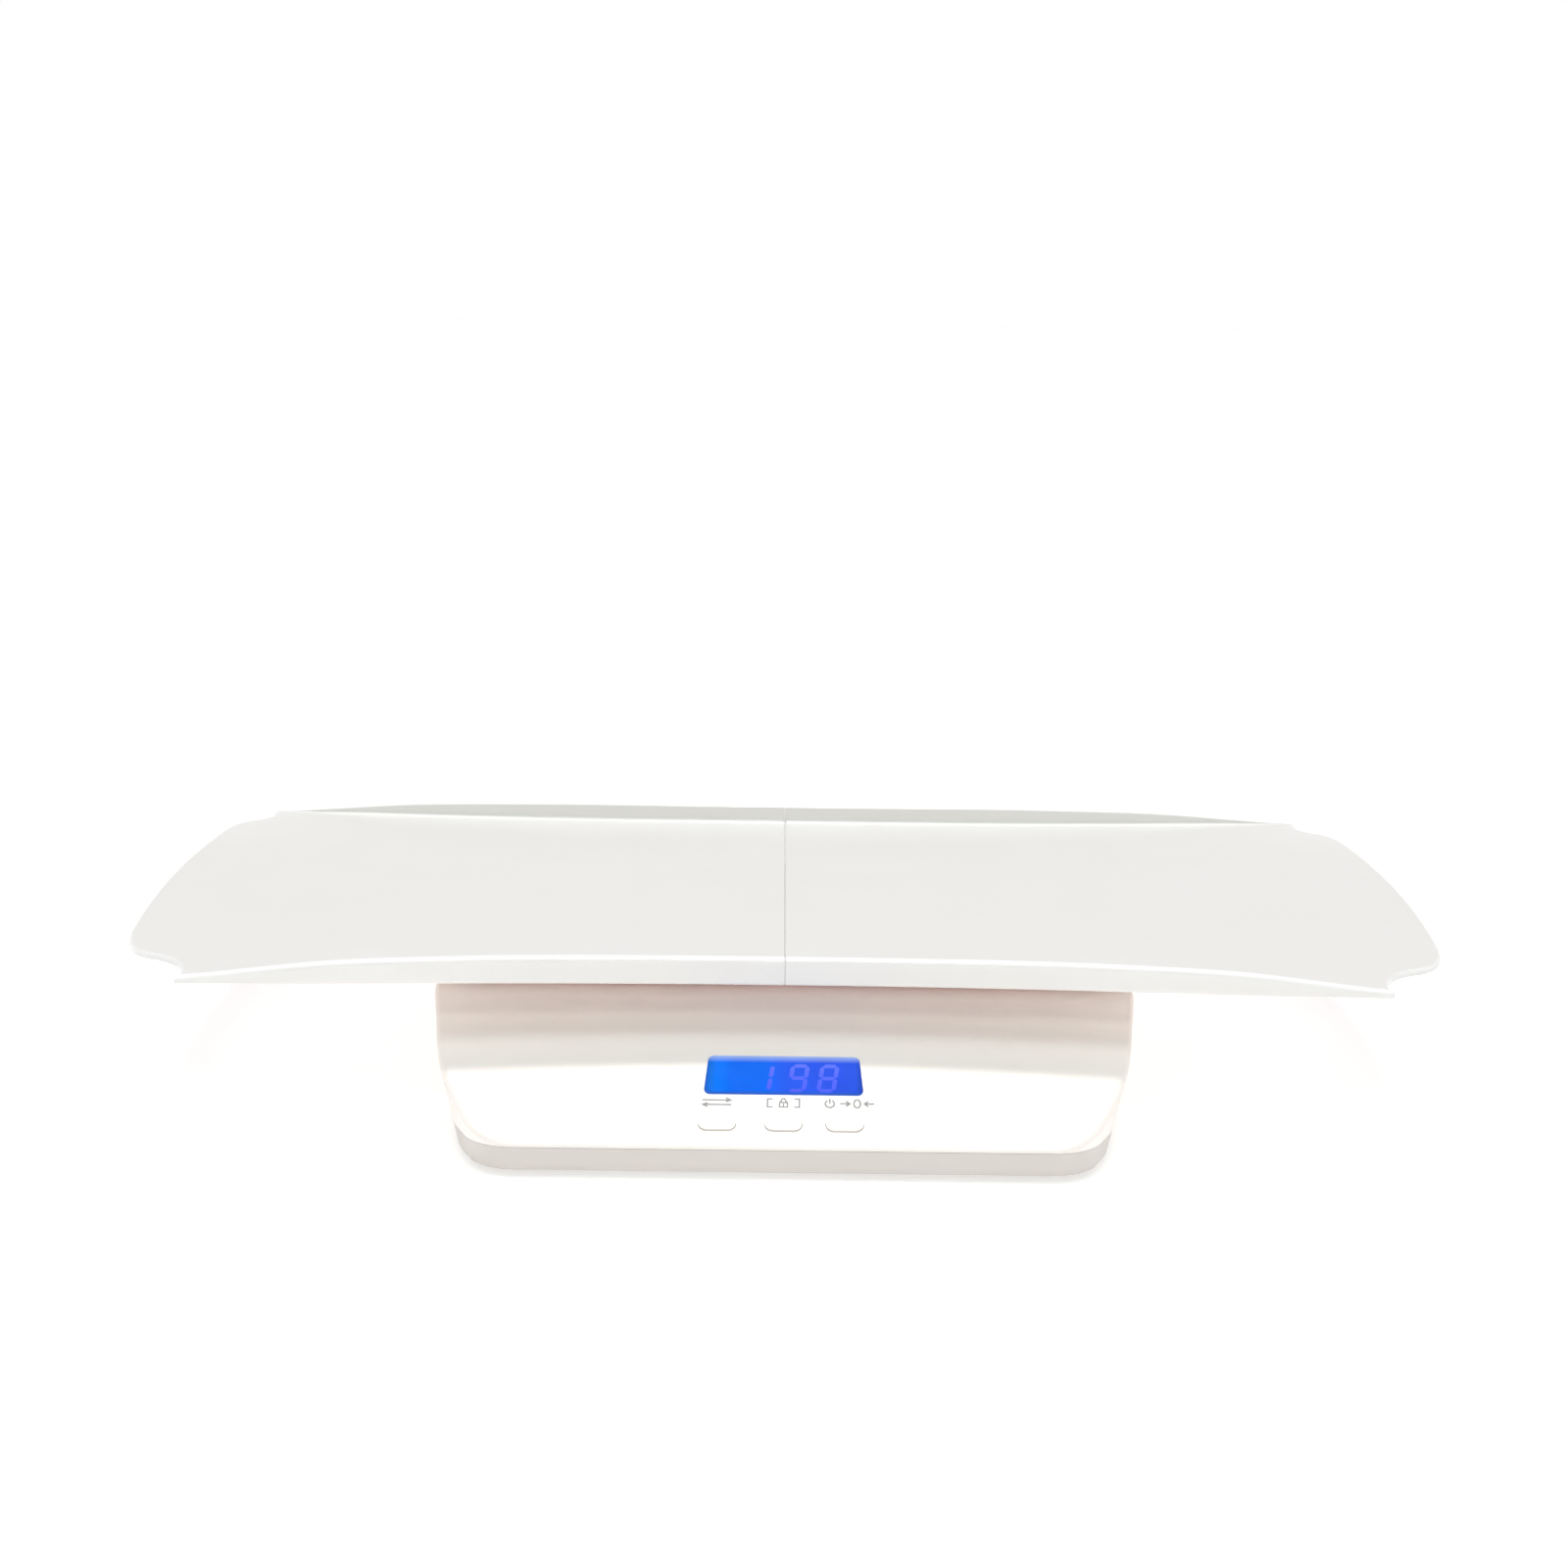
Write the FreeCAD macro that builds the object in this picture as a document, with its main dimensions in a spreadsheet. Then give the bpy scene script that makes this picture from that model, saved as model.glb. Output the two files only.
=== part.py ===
import FreeCAD, Part
import math
import os
import Sketcher

V3 = FreeCAD.Vector
doc = FreeCAD.newDocument("baby_scale")

# ---------------------------------------------------------------- dimensions
sheet = doc.addObject("Spreadsheet::Sheet", "Params")
CELLS = [
    # base shell, plan at platform height (all millimetres)
    ("base_half", 146.5), ("base_front", -184.9), ("base_back", 130.5),
    ("corner_x", 106.9), ("corner_rad", 32.9), ("flank_y", -128.4), ("flank_rad", 69.3), ("rear_rad", 34.0),
    ("draft_deg", 12.6), ("wall", 2.5), ("split_z", 13.0), ("base_low", 3.0), ("plat_z", 60.0),
    ("panel_y", -174.0), ("panel_z", 14.5), ("panel_run", 68.0), ("panel_rise", 45.5), ("crest_fil", 14.0), ("rim_fil", 2.2),
    # display, in the panel's own plane
    ("disp_v", 36.1), ("win_w", 64.5), ("win_wtop", 61.1), ("win_high", 19.8), ("win_thick", 1.5), ("win_rad", 2.6),
    ("hole_w", 55.4), ("hole_high", 16.2),
    ("lcd_w", 60.0), ("lcd_high", 24.0), ("lcd_thick", 2.4), ("lcd_top", -3.0),
    ("light_w", 58.0), ("light_thick", 2.8), ("frame_w", 68.0), ("frame_high", 30.0), ("frame_top", -2.7), ("frame_low", -9.9),
    ("board_w", 94.0), ("board_lo", 5.0), ("board_hi", 57.0), ("board_top", -10.2), ("board_thick", 1.6),
    # keys
    ("key_v", 11.2), ("key_w", 15.0), ("key_high", 6.4), ("key_proud", 0.8), ("key_gap", 0.2), ("key_left", -26.5), ("key_mid", 0.0), ("key_right", 24.5),
    # feet and load cells
    ("foot_x", 104.0), ("foot_front", -112.0), ("foot_rear", 90.0), ("pad_rad", 14.0), ("pad_thick", 2.2), ("cap_rad", 16.0), ("cap_flange", 19.0),
    ("cell_size", 34.0), ("cell_low", 9.0), ("cell_thick", 2.0), ("seat_size", 40.0), ("seat_top", 15.0), ("post_rad", 15.0), ("post_bore", 12.0),
    # battery bay
    ("bay_half", 28.5), ("bay_front", 11.0), ("bay_back", 57.0), ("bay_roof", 18.3), ("door_thick", 2.2), ("aaa_rad", 5.2), ("aaa_len", 44.5), ("aaa_z", 12.6), ("aaa_pitch", 11.2),
    # screws
    ("screw_x", 120.0), ("screw_rear", 110.0), ("screw_rad", 1.4), ("head_rad", 3.3),
    # platform
    ("stiff_half", 86.0), ("stiff_front", -85.0), ("stiff_back", 95.0), ("stiff_thick", 1.5),
    ("rail_half", 115.0), ("rail_front_y", -48.0), ("rail_rear_y", 76.0), ("stem_half", 3.0), ("rail_head_half", 7.0), ("rail_head_low", 66.0), ("rail_top", 69.5),
    # tray
    ("tray_y", 14.0), ("tray_low", 70.0), ("sheet_thick", 3.0), ("seam_gap", 0.4), ("edge_y", 147.5),
    ("end_x", 281.0), ("root_x", 277.6), ("root_y", 95.0), ("horn_pull", 13.5), ("flap_pull", 9.5), ("flat_x", 100.0), ("end_rise", 3.8),
    # tray corners: near ones are bitten deeper than the far ones
    ("flap_x", 263.0), ("flap_y", 127.2), ("bite_x", 247.2), ("bite_y", 141.0), ("tip_x", 246.0), ("tip_y", 160.0),
    ("far_flap_x", 268.5), ("far_flap_y", 128.5), ("far_bite_x", 261.3), ("far_bite_y", 139.0), ("far_tip_x", 262.5), ("far_tip_y", 157.0),
    ("lip_high", 11.0), ("lip_thick", 2.8), ("chan_start", 3.0), ("chan_end", 112.0), ("rib_depth", 4.0), ("rib_thick", 1.8),
]
for row, (alias, value) in enumerate(CELLS, start=1):
    sheet.set("A%d" % row, alias)
    sheet.set("B%d" % row, repr(value))
    sheet.setAlias("B%d" % row, alias)
doc.recompute()


# a size: its present value and the sheet expression it is bound to
class Dim:
    def __init__(self, v, e):
        self.v, self.e = float(v), e

    def _c(o):
        return o if isinstance(o, Dim) else Dim(o, "%.6g" % o if o >= 0 else "(0 - %.6g)" % -o)

    def __add__(a, b):
        b = Dim._c(b)
        return Dim(a.v + b.v, "(%s + %s)" % (a.e, b.e))

    def __radd__(a, b):
        return Dim._c(b) + a

    def __sub__(a, b):
        b = Dim._c(b)
        return Dim(a.v - b.v, "(%s - %s)" % (a.e, b.e))

    def __rsub__(a, b):
        return Dim._c(b) - a

    def __mul__(a, b):
        b = Dim._c(b)
        return Dim(a.v * b.v, "(%s * %s)" % (a.e, b.e))

    def __rmul__(a, b):
        return Dim._c(b) * a

    def __truediv__(a, b):
        b = Dim._c(b)
        return Dim(a.v / b.v, "(%s / %s)" % (a.e, b.e))

    def __neg__(a):
        return Dim(-a.v, "(0 - %s)" % a.e)


def P(alias):
    return Dim(float(sheet.get(alias)), "Params." + alias)


def D(x):
    return x if isinstance(x, Dim) else Dim._c(x)


def dsqrt(a):
    return Dim(math.sqrt(a.v), "sqrt(%s)" % a.e)


SLOPE = dsqrt(P("panel_run") * P("panel_run") + P("panel_rise") * P("panel_rise"))
COS = P("panel_run") / SLOPE
SIN = P("panel_rise") / SLOPE
TILT = math.degrees(math.atan2(float(sheet.get("panel_rise")), float(sheet.get("panel_run"))))
count = [0]


def uname(stem):
    count[0] += 1
    return "%s_%03d" % (stem, count[0])


def bind(obj, prop, dim):
    dim = D(dim)
    obj.setExpression(prop, dim.e)


def bind_base(obj, x, y, z):
    bind(obj, "Placement.Base.x", x)
    bind(obj, "Placement.Base.y", y)
    bind(obj, "Placement.Base.z", z)


# world box between two corners
def box(x0, x1, y0, y1, z0, z1):
    x0, x1, y0, y1, z0, z1 = [D(a) for a in (x0, x1, y0, y1, z0, z1)]
    o = doc.addObject("Part::Box", uname("box"))
    bind(o, "Length", x1 - x0)
    bind(o, "Width", y1 - y0)
    bind(o, "Height", z1 - z0)
    bind_base(o, x0, y0, z0)
    return o


# box in the plane of the sloped panel: x across, v up the slope, w out of it
def pbox(x0, x1, v0, v1, w0, w1):
    x0, x1, v0, v1, w0, w1 = [D(a) for a in (x0, x1, v0, v1, w0, w1)]
    o = doc.addObject("Part::Box", uname("pbox"))
    bind(o, "Length", x1 - x0)
    bind(o, "Width", v1 - v0)
    bind(o, "Height", w1 - w0)
    o.Placement = FreeCAD.Placement(V3(0, 0, 0), FreeCAD.Rotation(V3(1, 0, 0), TILT))
    o.setExpression("Placement.Rotation.Angle", "atan(Params.panel_rise / Params.panel_run)")
    bind_base(o, x0, P("panel_y") + v0 * COS - w0 * SIN, P("panel_z") + v0 * SIN + w0 * COS)
    return o


def cyl(r, x, y, z0, z1):
    r, x, y, z0, z1 = [D(a) for a in (r, x, y, z0, z1)]
    o = doc.addObject("Part::Cylinder", uname("cyl"))
    bind(o, "Radius", r)
    bind(o, "Height", z1 - z0)
    bind_base(o, x, y, z0)
    return o


# cylinder along X
def xcyl(r, x0, x1, y, z):
    r, x0, x1, y, z = [D(a) for a in (r, x0, x1, y, z)]
    o = doc.addObject("Part::Cylinder", uname("xcyl"))
    bind(o, "Radius", r)
    bind(o, "Height", x1 - x0)
    o.Placement = FreeCAD.Placement(V3(0, 0, 0), FreeCAD.Rotation(V3(0, 1, 0), 90))
    bind_base(o, x0, y, z)
    return o


# cylinder standing on the sloped panel
def pcyl(r, x, v, w0, w1):
    r, x, v, w0, w1 = [D(a) for a in (r, x, v, w0, w1)]
    o = doc.addObject("Part::Cylinder", uname("pcyl"))
    bind(o, "Radius", r)
    bind(o, "Height", w1 - w0)
    o.Placement = FreeCAD.Placement(V3(0, 0, 0), FreeCAD.Rotation(V3(1, 0, 0), TILT))
    o.setExpression("Placement.Rotation.Angle", "atan(Params.panel_rise / Params.panel_run)")
    bind_base(o, x, P("panel_y") + v * COS - w0 * SIN, P("panel_z") + v * SIN + w0 * COS)
    return o


def fuse(label, *items):
    o = doc.addObject("Part::MultiFuse", uname("fuse"))
    o.Shapes = list(items)
    o.Refine = True
    o.Label = label
    return o


def cut(label, base, *tools):
    tool = tools[0] if len(tools) == 1 else fuse(uname("tools"), *tools)
    o = doc.addObject("Part::Cut", uname("cut"))
    o.Base, o.Tool = base, tool
    o.Refine = True
    o.Label = label
    return o


def common(label, a, b):
    o = doc.addObject("Part::Common", uname("common"))
    o.Base, o.Tool = a, b
    o.Refine = True
    o.Label = label
    return o


def compound(label, *items):
    o = doc.addObject("Part::Compound", uname("group"))
    o.Links = list(items)
    o.Label = label
    return o


def own_plane(body, role):
    return [o for o in body.Origin.OriginFeatures if o.Role == role][0]


# closed polygon sketch on one of the body's own origin planes, every corner bound to the sheet
def poly(body, role, pts, offset=None):
    sk = body.newObject("Sketcher::SketchObject", uname("sketch"))
    sk.AttachmentSupport = (own_plane(body, role), [""])
    sk.MapMode = "FlatFace"
    if offset is not None:
        sk.AttachmentOffset = FreeCAD.Placement(V3(0, 0, D(offset).v), FreeCAD.Rotation())
        sk.setExpression("AttachmentOffset.Base.z", D(offset).e)
    pts = [(D(a), D(b)) for a, b in pts]
    n = len(pts)
    for i in range(n):
        a, b = pts[i], pts[(i + 1) % n]
        sk.addGeometry(Part.LineSegment(V3(a[0].v, a[1].v, 0), V3(b[0].v, b[1].v, 0)), False)
    for i in range(n):
        sk.addConstraint(Sketcher.Constraint("Coincident", i, 2, (i + 1) % n, 1))
    for i in range(n):
        for kind, d in (("DistanceX", pts[i][0]), ("DistanceY", pts[i][1])):
            c = sk.addConstraint(Sketcher.Constraint(kind, -1, 1, i, 1, d.v))
            sk.setExpression("Constraints[%d]" % c, d.e)
    return sk


def new_body(label):
    b = doc.addObject("PartDesign::Body", uname("body"))
    b.Label = label
    return b


def pad(body, sketch, length, taper=None, midplane=False):
    p = body.newObject("PartDesign::Pad", uname("pad"))
    p.Profile = sketch
    p.Length = D(length).v
    p.setExpression("Length", D(length).e)
    if midplane:
        p.Midplane = True
    if taper is not None:
        p.TaperAngle = D(taper).v
        p.setExpression("TaperAngle", D(taper).e)
    sketch.Visibility = False
    doc.recompute()
    return p


def fillet(body, feature, test, radius):
    names = ["Edge%d" % (i + 1) for i, e in enumerate(feature.Shape.Edges) if test(e)]
    f = body.newObject("PartDesign::Fillet", uname("fillet"))
    f.Base = (feature, names)
    f.Radius = D(radius).v
    f.setExpression("Radius", D(radius).e)
    doc.recompute()
    return f


def upright(e):
    a, b = e.Vertexes[0].Point, e.Vertexes[-1].Point
    return abs(b.z - a.z) > 0.8 * e.Length


# ---------------------------------------------------------------- base shell
# plan of the base at platform height: a belt round six circles, so an inset only takes from their radii
def base_plan(inset):
    half, front, back = P("base_half"), P("base_front"), P("base_back")
    r1, r2, r3 = P("corner_rad"), P("flank_rad"), P("rear_rad")
    right = [(P("corner_x"), front + r1, r1 - inset), (half - r2, P("flank_y"), r2 - inset), (half - r3, back - r3, r3 - inset)]
    return right + [(-x, y, r) for x, y, r in reversed(right)]


# closed sketch of arcs on given circles and the straight lines tangent to neighbours, anticlockwise
def belt(body, circles, offset):
    sk = body.newObject("Sketcher::SketchObject", uname("sketch"))
    sk.AttachmentSupport = (own_plane(body, "XY_Plane"), [""])
    sk.MapMode = "FlatFace"
    sk.AttachmentOffset = FreeCAD.Placement(V3(0, 0, D(offset).v), FreeCAD.Rotation())
    sk.setExpression("AttachmentOffset.Base.z", D(offset).e)
    n = len(circles)
    normal = []
    for i in range(n):
        (x1, y1, a), (x2, y2, b) = circles[i], circles[(i + 1) % n]
        dx, dy = x2.v - x1.v, y2.v - y1.v
        normal.append(math.atan2(dy, dx) - math.acos((a.v - b.v) / math.hypot(dx, dy)))
    for i in range(n):
        x, y, r = circles[i]
        t0, t1 = normal[i - 1], normal[i]
        while t1 < t0:
            t1 += 2 * math.pi
        sk.addGeometry(Part.ArcOfCircle(Part.Circle(V3(x.v, y.v, 0), V3(0, 0, 1), r.v), t0, t1), False)
    for i in range(n):
        (x1, y1, a), (x2, y2, b) = circles[i], circles[(i + 1) % n]
        c, q = math.cos(normal[i]), math.sin(normal[i])
        sk.addGeometry(Part.LineSegment(V3(x1.v + a.v * c, y1.v + a.v * q, 0), V3(x2.v + b.v * c, y2.v + b.v * q, 0)), False)
    for i in range(n):
        sk.addConstraint(Sketcher.Constraint("Tangent", i, 2, n + i, 1))
        sk.addConstraint(Sketcher.Constraint("Tangent", n + i, 2, (i + 1) % n, 1))
    for i in range(n):
        for kind, d in (("DistanceX", circles[i][0]), ("DistanceY", circles[i][1])):
            c = sk.addConstraint(Sketcher.Constraint(kind, -1, 1, i, 3, d.v))
            sk.setExpression("Constraints[%d]" % c, d.e)
        c = sk.addConstraint(Sketcher.Constraint("Radius", i, circles[i][2].v))
        sk.setExpression("Constraints[%d]" % c, circles[i][2].e)
    return sk


# drafted block between two heights, trimmed by the side profile (panel slope and platform)
def base_block(label, inset, low, high, crest):
    body = new_body(label)
    sk = belt(body, base_plan(inset), P("plat_z"))
    p = body.newObject("PartDesign::Pad", uname("pad"))
    p.Profile = sk
    p.Reversed = True
    depth = P("plat_z") - low
    p.Length = depth.v
    p.setExpression("Length", depth.e)
    p.TaperAngle = -P("draft_deg").v
    p.setExpression("TaperAngle", "0 - Params.draft_deg")
    doc.recompute()
    # the panel's slope: everything above the line that climbs from the front edge to the platform goes
    run, rise = P("panel_run"), P("panel_rise")
    y0 = P("panel_y") + inset * SIN
    z0 = P("panel_z") - inset * COS
    crest_y = y0 + (high - z0) * run / rise
    far = P("base_back") + 40
    sk2 = poly(body, "YZ_Plane", [(y0 - run, z0 - rise), (crest_y, high), (far, high), (far, P("plat_z") + 40), (y0 - run, P("plat_z") + 40)])
    q = body.newObject("PartDesign::Pocket", uname("pocket"))
    q.Profile = sk2
    q.Type = "Length"
    q.Length = 400
    q.setExpression("Length", "Params.base_half * 2.8")
    q.Midplane = True
    before = p.Shape.Volume
    doc.recompute()
    if not q.Shape.Volume < before - 1000:
        raise RuntimeError("%s: the slope cut nothing" % label)

    def on_crest(e):
        bb = e.BoundBox
        return bb.ZLength < 0.01 and bb.YLength < 0.01 and abs(bb.ZMax - high.v) < 0.01 and abs(bb.YMax - crest_y.v) < 0.01 and bb.XLength > 100
    f4 = fillet(body, q, on_crest, crest)
    return body, f4


outer, outer_last = base_block("base_outer", Dim(0.0, "0"), P("base_low"), P("plat_z"), P("crest_fil"))


# rounded rim all round the platform, the panel and the front edge: every edge between an upward face and a side face
def lift(face, point):
    u, v = face.Surface.parameter(point)
    return face.normalAt(u, v).z


def on_rim(shape, e):
    mid = e.valueAt((e.FirstParameter + e.LastParameter) / 2)
    if mid.z < P("split_z").v - 2:
        return False
    lifts = sorted(lift(f, mid) for f in shape.ancestorsOfType(e, Part.Face))
    return len(lifts) == 2 and lifts[0] < 0.3 and lifts[1] > 0.5


rim_edges = ["Edge%d" % (i + 1) for i, e in enumerate(outer_last.Shape.Edges) if on_rim(outer_last.Shape, e)]
rim = outer.newObject("PartDesign::Fillet", "rim_fillet")
rim.Base = (outer_last, rim_edges)
rim.Radius = P("rim_fil").v
rim.setExpression("Radius", "Params.rim_fil")
doc.recompute()

inner, inner_last = base_block("base_inner", P("wall"), P("base_low") + P("wall"), P("plat_z") - P("wall"), P("crest_fil"))

big = P("base_half") + 60
feet = [("front_left", -P("foot_x"), P("foot_front")), ("front_right", P("foot_x"), P("foot_front")),
        ("rear_left", -P("foot_x"), P("foot_rear")), ("rear_right", P("foot_x"), P("foot_rear"))]
screws = [(-P("screw_x"), Dim(-52.0, "(0 - 52)")), (P("screw_x"), Dim(-52.0, "(0 - 52)")), (-P("screw_x"), D(30.0)), (P("screw_x"), D(30.0)),
          (D(-58.0), P("screw_rear")), (D(58.0), P("screw_rear"))]
keys = [("button_unit", P("key_left")), ("button_hold", P("key_mid")), ("button_power", P("key_right"))]
board_screws = [(D(-42.0), D(9.0)), (D(42.0), D(9.0)), (D(-42.0), D(53.0)), (D(42.0), D(53.0))]
rails = [("rail_front", P("rail_front_y")), ("rail_rear", P("rail_rear_y"))]
rail_holes = [D(-96.0), D(0.0), D(96.0)]

# ---------------------------------------------------------------- top cover
upper_box = box(-big, big, P("base_front") - 30, P("base_back") + 30, P("split_z") + 0.15, P("plat_z") + 10)
upper_skin = cut("upper_skin", common("upper_outer", outer, upper_box), inner)
adds = []
for _, fx, fy in feet:
    adds.append(cut(uname("post"), common(uname("trim"), cyl(P("post_rad"), fx, fy, P("seat_top"), P("plat_z") - 1), outer),
                    common(uname("bore"), cyl(P("post_bore"), fx, fy, P("seat_top") - 1, P("plat_z")), inner)))
for sx, sy in screws:
    adds.append(cut(uname("boss"), cyl(4.6, sx, sy, 8.0, P("plat_z") - 1), cyl(P("screw_rad") + 0.04, sx, sy, 7.0, 24.0)))
for bx_, bv in board_screws:
    adds.append(cut(uname("boss"), pcyl(3.2, bx_, bv, P("board_top"), -1.0), pcyl(1.14, bx_, bv, P("board_top") - 1, -4.0)))
holes = []


# pill-shaped prism in the panel's plane
def pill(x, v, wide, high, w0, w1):
    r = D(high) / 2
    half = D(wide) / 2 - r
    return fuse(uname("pill"), pbox(D(x) - half, D(x) + half, D(v) - r, D(v) + r, w0, w1), pcyl(r, D(x) - half, v, w0, w1), pcyl(r, D(x) + half, v, w0, w1))


# window plate: slightly wider at its lower edge, rounded corners
def window_plate(label, grow, w0, w1):
    body = new_body(label)
    a, b, hh = P("win_wtop") / 2 + grow, P("win_w") / 2 + grow, P("win_high") / 2 + grow
    sk = poly(body, "XY_Plane", [(-b, -hh), (b, -hh), (a, hh), (-a, hh)], offset=w0)
    p = pad(body, sk, D(w1) - D(w0))
    fillet(body, p, lambda e: abs(e.Vertexes[0].Point.z - e.Vertexes[-1].Point.z) > 0.5, P("win_rad"))
    body.Placement = FreeCAD.Placement(V3(0, 0, 0), FreeCAD.Rotation(V3(1, 0, 0), TILT))
    body.setExpression("Placement.Rotation.Angle", "atan(Params.panel_rise / Params.panel_run)")
    bind_base(body, 0.0, P("panel_y") + P("disp_v") * COS, P("panel_z") + P("disp_v") * SIN)
    return body


holes.append(window_plate("window_seat", 0.15, -P("win_thick") - 0.1, D(2.0)))
holes.append(pbox(-P("hole_w") / 2, P("hole_w") / 2, P("disp_v") - P("hole_high") / 2, P("disp_v") + P("hole_high") / 2, -4.0, 1.0))
for _, kx in keys:
    holes.append(pill(kx, P("key_v"), P("key_w") + 2 * P("key_gap"), P("key_high") + 2 * P("key_gap"), -4.0, 2.0))
for _, ry in rails:
    for hx in rail_holes:
        holes.append(cyl(1.6, hx, ry, P("plat_z") - 6, P("plat_z") + 1))
top_cover = cut("top_cover", fuse("upper_body", upper_skin, *adds), *holes)

# ---------------------------------------------------------------- bottom shell
lower_box = box(-big, big, P("base_front") - 30, P("base_back") + 30, P("base_low") - 1, P("split_z"))
floor_top = P("base_low") + P("wall")
lower_skin = cut("lower_skin", common("lower_outer", outer, lower_box), inner)
adds = []
for sx, sy in screws:
    adds.append(cyl(6.0, sx, sy, floor_top - 1, 8.0))
bay = cut("bay", box(-P("bay_half") - 2, P("bay_half") + 2, P("bay_front") - 2, P("bay_back") + 2, floor_top - 1, P("bay_roof") + 2),
          box(-P("bay_half"), P("bay_half"), P("bay_front"), P("bay_back"), P("base_low") - 1, P("bay_roof")))
adds.append(bay)
# ring that steadies each foot cap
for _, fx, fy in feet:
    adds.append(cut(uname("ring"), cyl(P("cap_flange") + 2.4, fx, fy, floor_top - 1, 8.6), cyl(P("cap_flange") + 0.5, fx, fy, floor_top - 2, 10.0)))
# low ribs across the floor
adds.append(box(-70.0, -68.0, -100.0, 100.0, floor_top - 1, 8.6))
adds.append(box(68.0, 70.0, -100.0, 100.0, floor_top - 1, 8.6))
holes = [box(-P("bay_half"), P("bay_half"), P("bay_front"), P("bay_back"), P("base_low") - 1, floor_top + 0.5),
         box(-27.2, -17.8, P("bay_back") - 1, P("bay_back") + 1.3, floor_top, 7.6), box(17.8, 27.2, P("bay_back") - 1, P("bay_back") + 1.3, floor_top, 7.6)]
for _, fx, fy in feet:
    holes.append(cyl(P("cap_rad") + 0.4, fx, fy, P("base_low") - 1, floor_top + 1))
for sx, sy in screws:
    holes.append(cyl(P("head_rad") + 0.4, sx, sy, P("base_low") - 1, 5.8))
    holes.append(cyl(P("screw_rad") + 0.4, sx, sy, 5.0, 9.0))
bottom_shell = cut("bottom_shell", fuse("lower_body", lower_skin, *adds), *holes)

# ---------------------------------------------------------------- display and board
window = window_plate("display_window", 0.0, -P("win_thick"), D(-0.05))
dv = P("disp_v")
lcd = cut("lcd_glass", pbox(-P("lcd_w") / 2, P("lcd_w") / 2, dv - P("lcd_high") / 2, dv + P("lcd_high") / 2, P("lcd_top") - P("lcd_thick"), P("lcd_top")),
          pbox(-P("lcd_w") / 2 - 1, P("lcd_w") / 2 + 1, dv - P("lcd_high") / 2 - 1, dv - P("lcd_high") / 2 + 3, P("lcd_top") - P("lcd_thick") / 2, P("lcd_top") + 1))
light_top = P("lcd_top") - P("lcd_thick") - 0.1
backlight = fuse("backlight_panel", pbox(-P("light_w") / 2, P("light_w") / 2, dv - 8.0, dv + 11.6, light_top - P("light_thick"), light_top),
                 pbox(-22.0, -20.0, dv - 1.0, dv + 1.0, P("board_top") + 0.05, light_top - P("light_thick") + 0.2),
                 pbox(20.0, 22.0, dv - 1.0, dv + 1.0, P("board_top") + 0.05, light_top - P("light_thick") + 0.2))
zebra = pbox(-27.0, 27.0, dv - 11.6, dv - 9.4, P("board_top"), P("lcd_top") - P("lcd_thick"))
zebra.Label = "zebra_strip"
frame = cut("lcd_frame", pbox(-P("frame_w") / 2, P("frame_w") / 2, dv - P("frame_high") / 2, dv + P("frame_high") / 2, P("frame_low"), P("frame_top")),
            pbox(-P("lcd_w") / 2 - 0.3, P("lcd_w") / 2 + 0.3, dv - P("lcd_high") / 2 - 0.3, dv + P("lcd_high") / 2 + 0.3, P("frame_low") - 1, P("frame_top") + 1))
board_plate = pbox(-P("board_w") / 2, P("board_w") / 2, P("board_lo"), P("board_hi"), P("board_top") - P("board_thick"), P("board_top"))
board = cut("main_board", board_plate, *[pcyl(1.35, a, b, P("board_top") - 4, P("board_top") + 1) for a, b in board_screws])
board_low = P("board_top") - P("board_thick")
chip = pbox(6.0, 20.0, 24.0, 38.0, board_low - 1.5, board_low)
chip.Label = "board_chip"
sw = []
for _, kx in keys:
    sw.append(fuse(uname("switch"), pbox(kx - 3, kx + 3, P("key_v") - 3, P("key_v") + 3, P("board_top"), P("board_top") + 3.4), pcyl(1.7, kx, P("key_v"), P("board_top") + 3.2, P("board_top") + 4.2)))
compound("key_switches", *sw)
bs = []
for a, b in board_screws:
    bs.append(fuse(uname("screw"), pcyl(2.4, a, b, board_low - 1.6, board_low), pcyl(1.1, a, b, board_low - 0.5, -4.6)))
compound("board_screws", *bs)

# keys: a pill cap, a wider flange that stops it under the cover, and a stem over its switch
for label, kx in keys:
    fuse(label, pill(kx, P("key_v"), P("key_w"), P("key_high"), -3.6, P("key_proud")), pill(kx, P("key_v"), P("key_w") + 2.2, P("key_high") + 2.2, -3.9, -2.9),
         pcyl(1.5, kx, P("key_v"), -5.1, -3.5))

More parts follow.
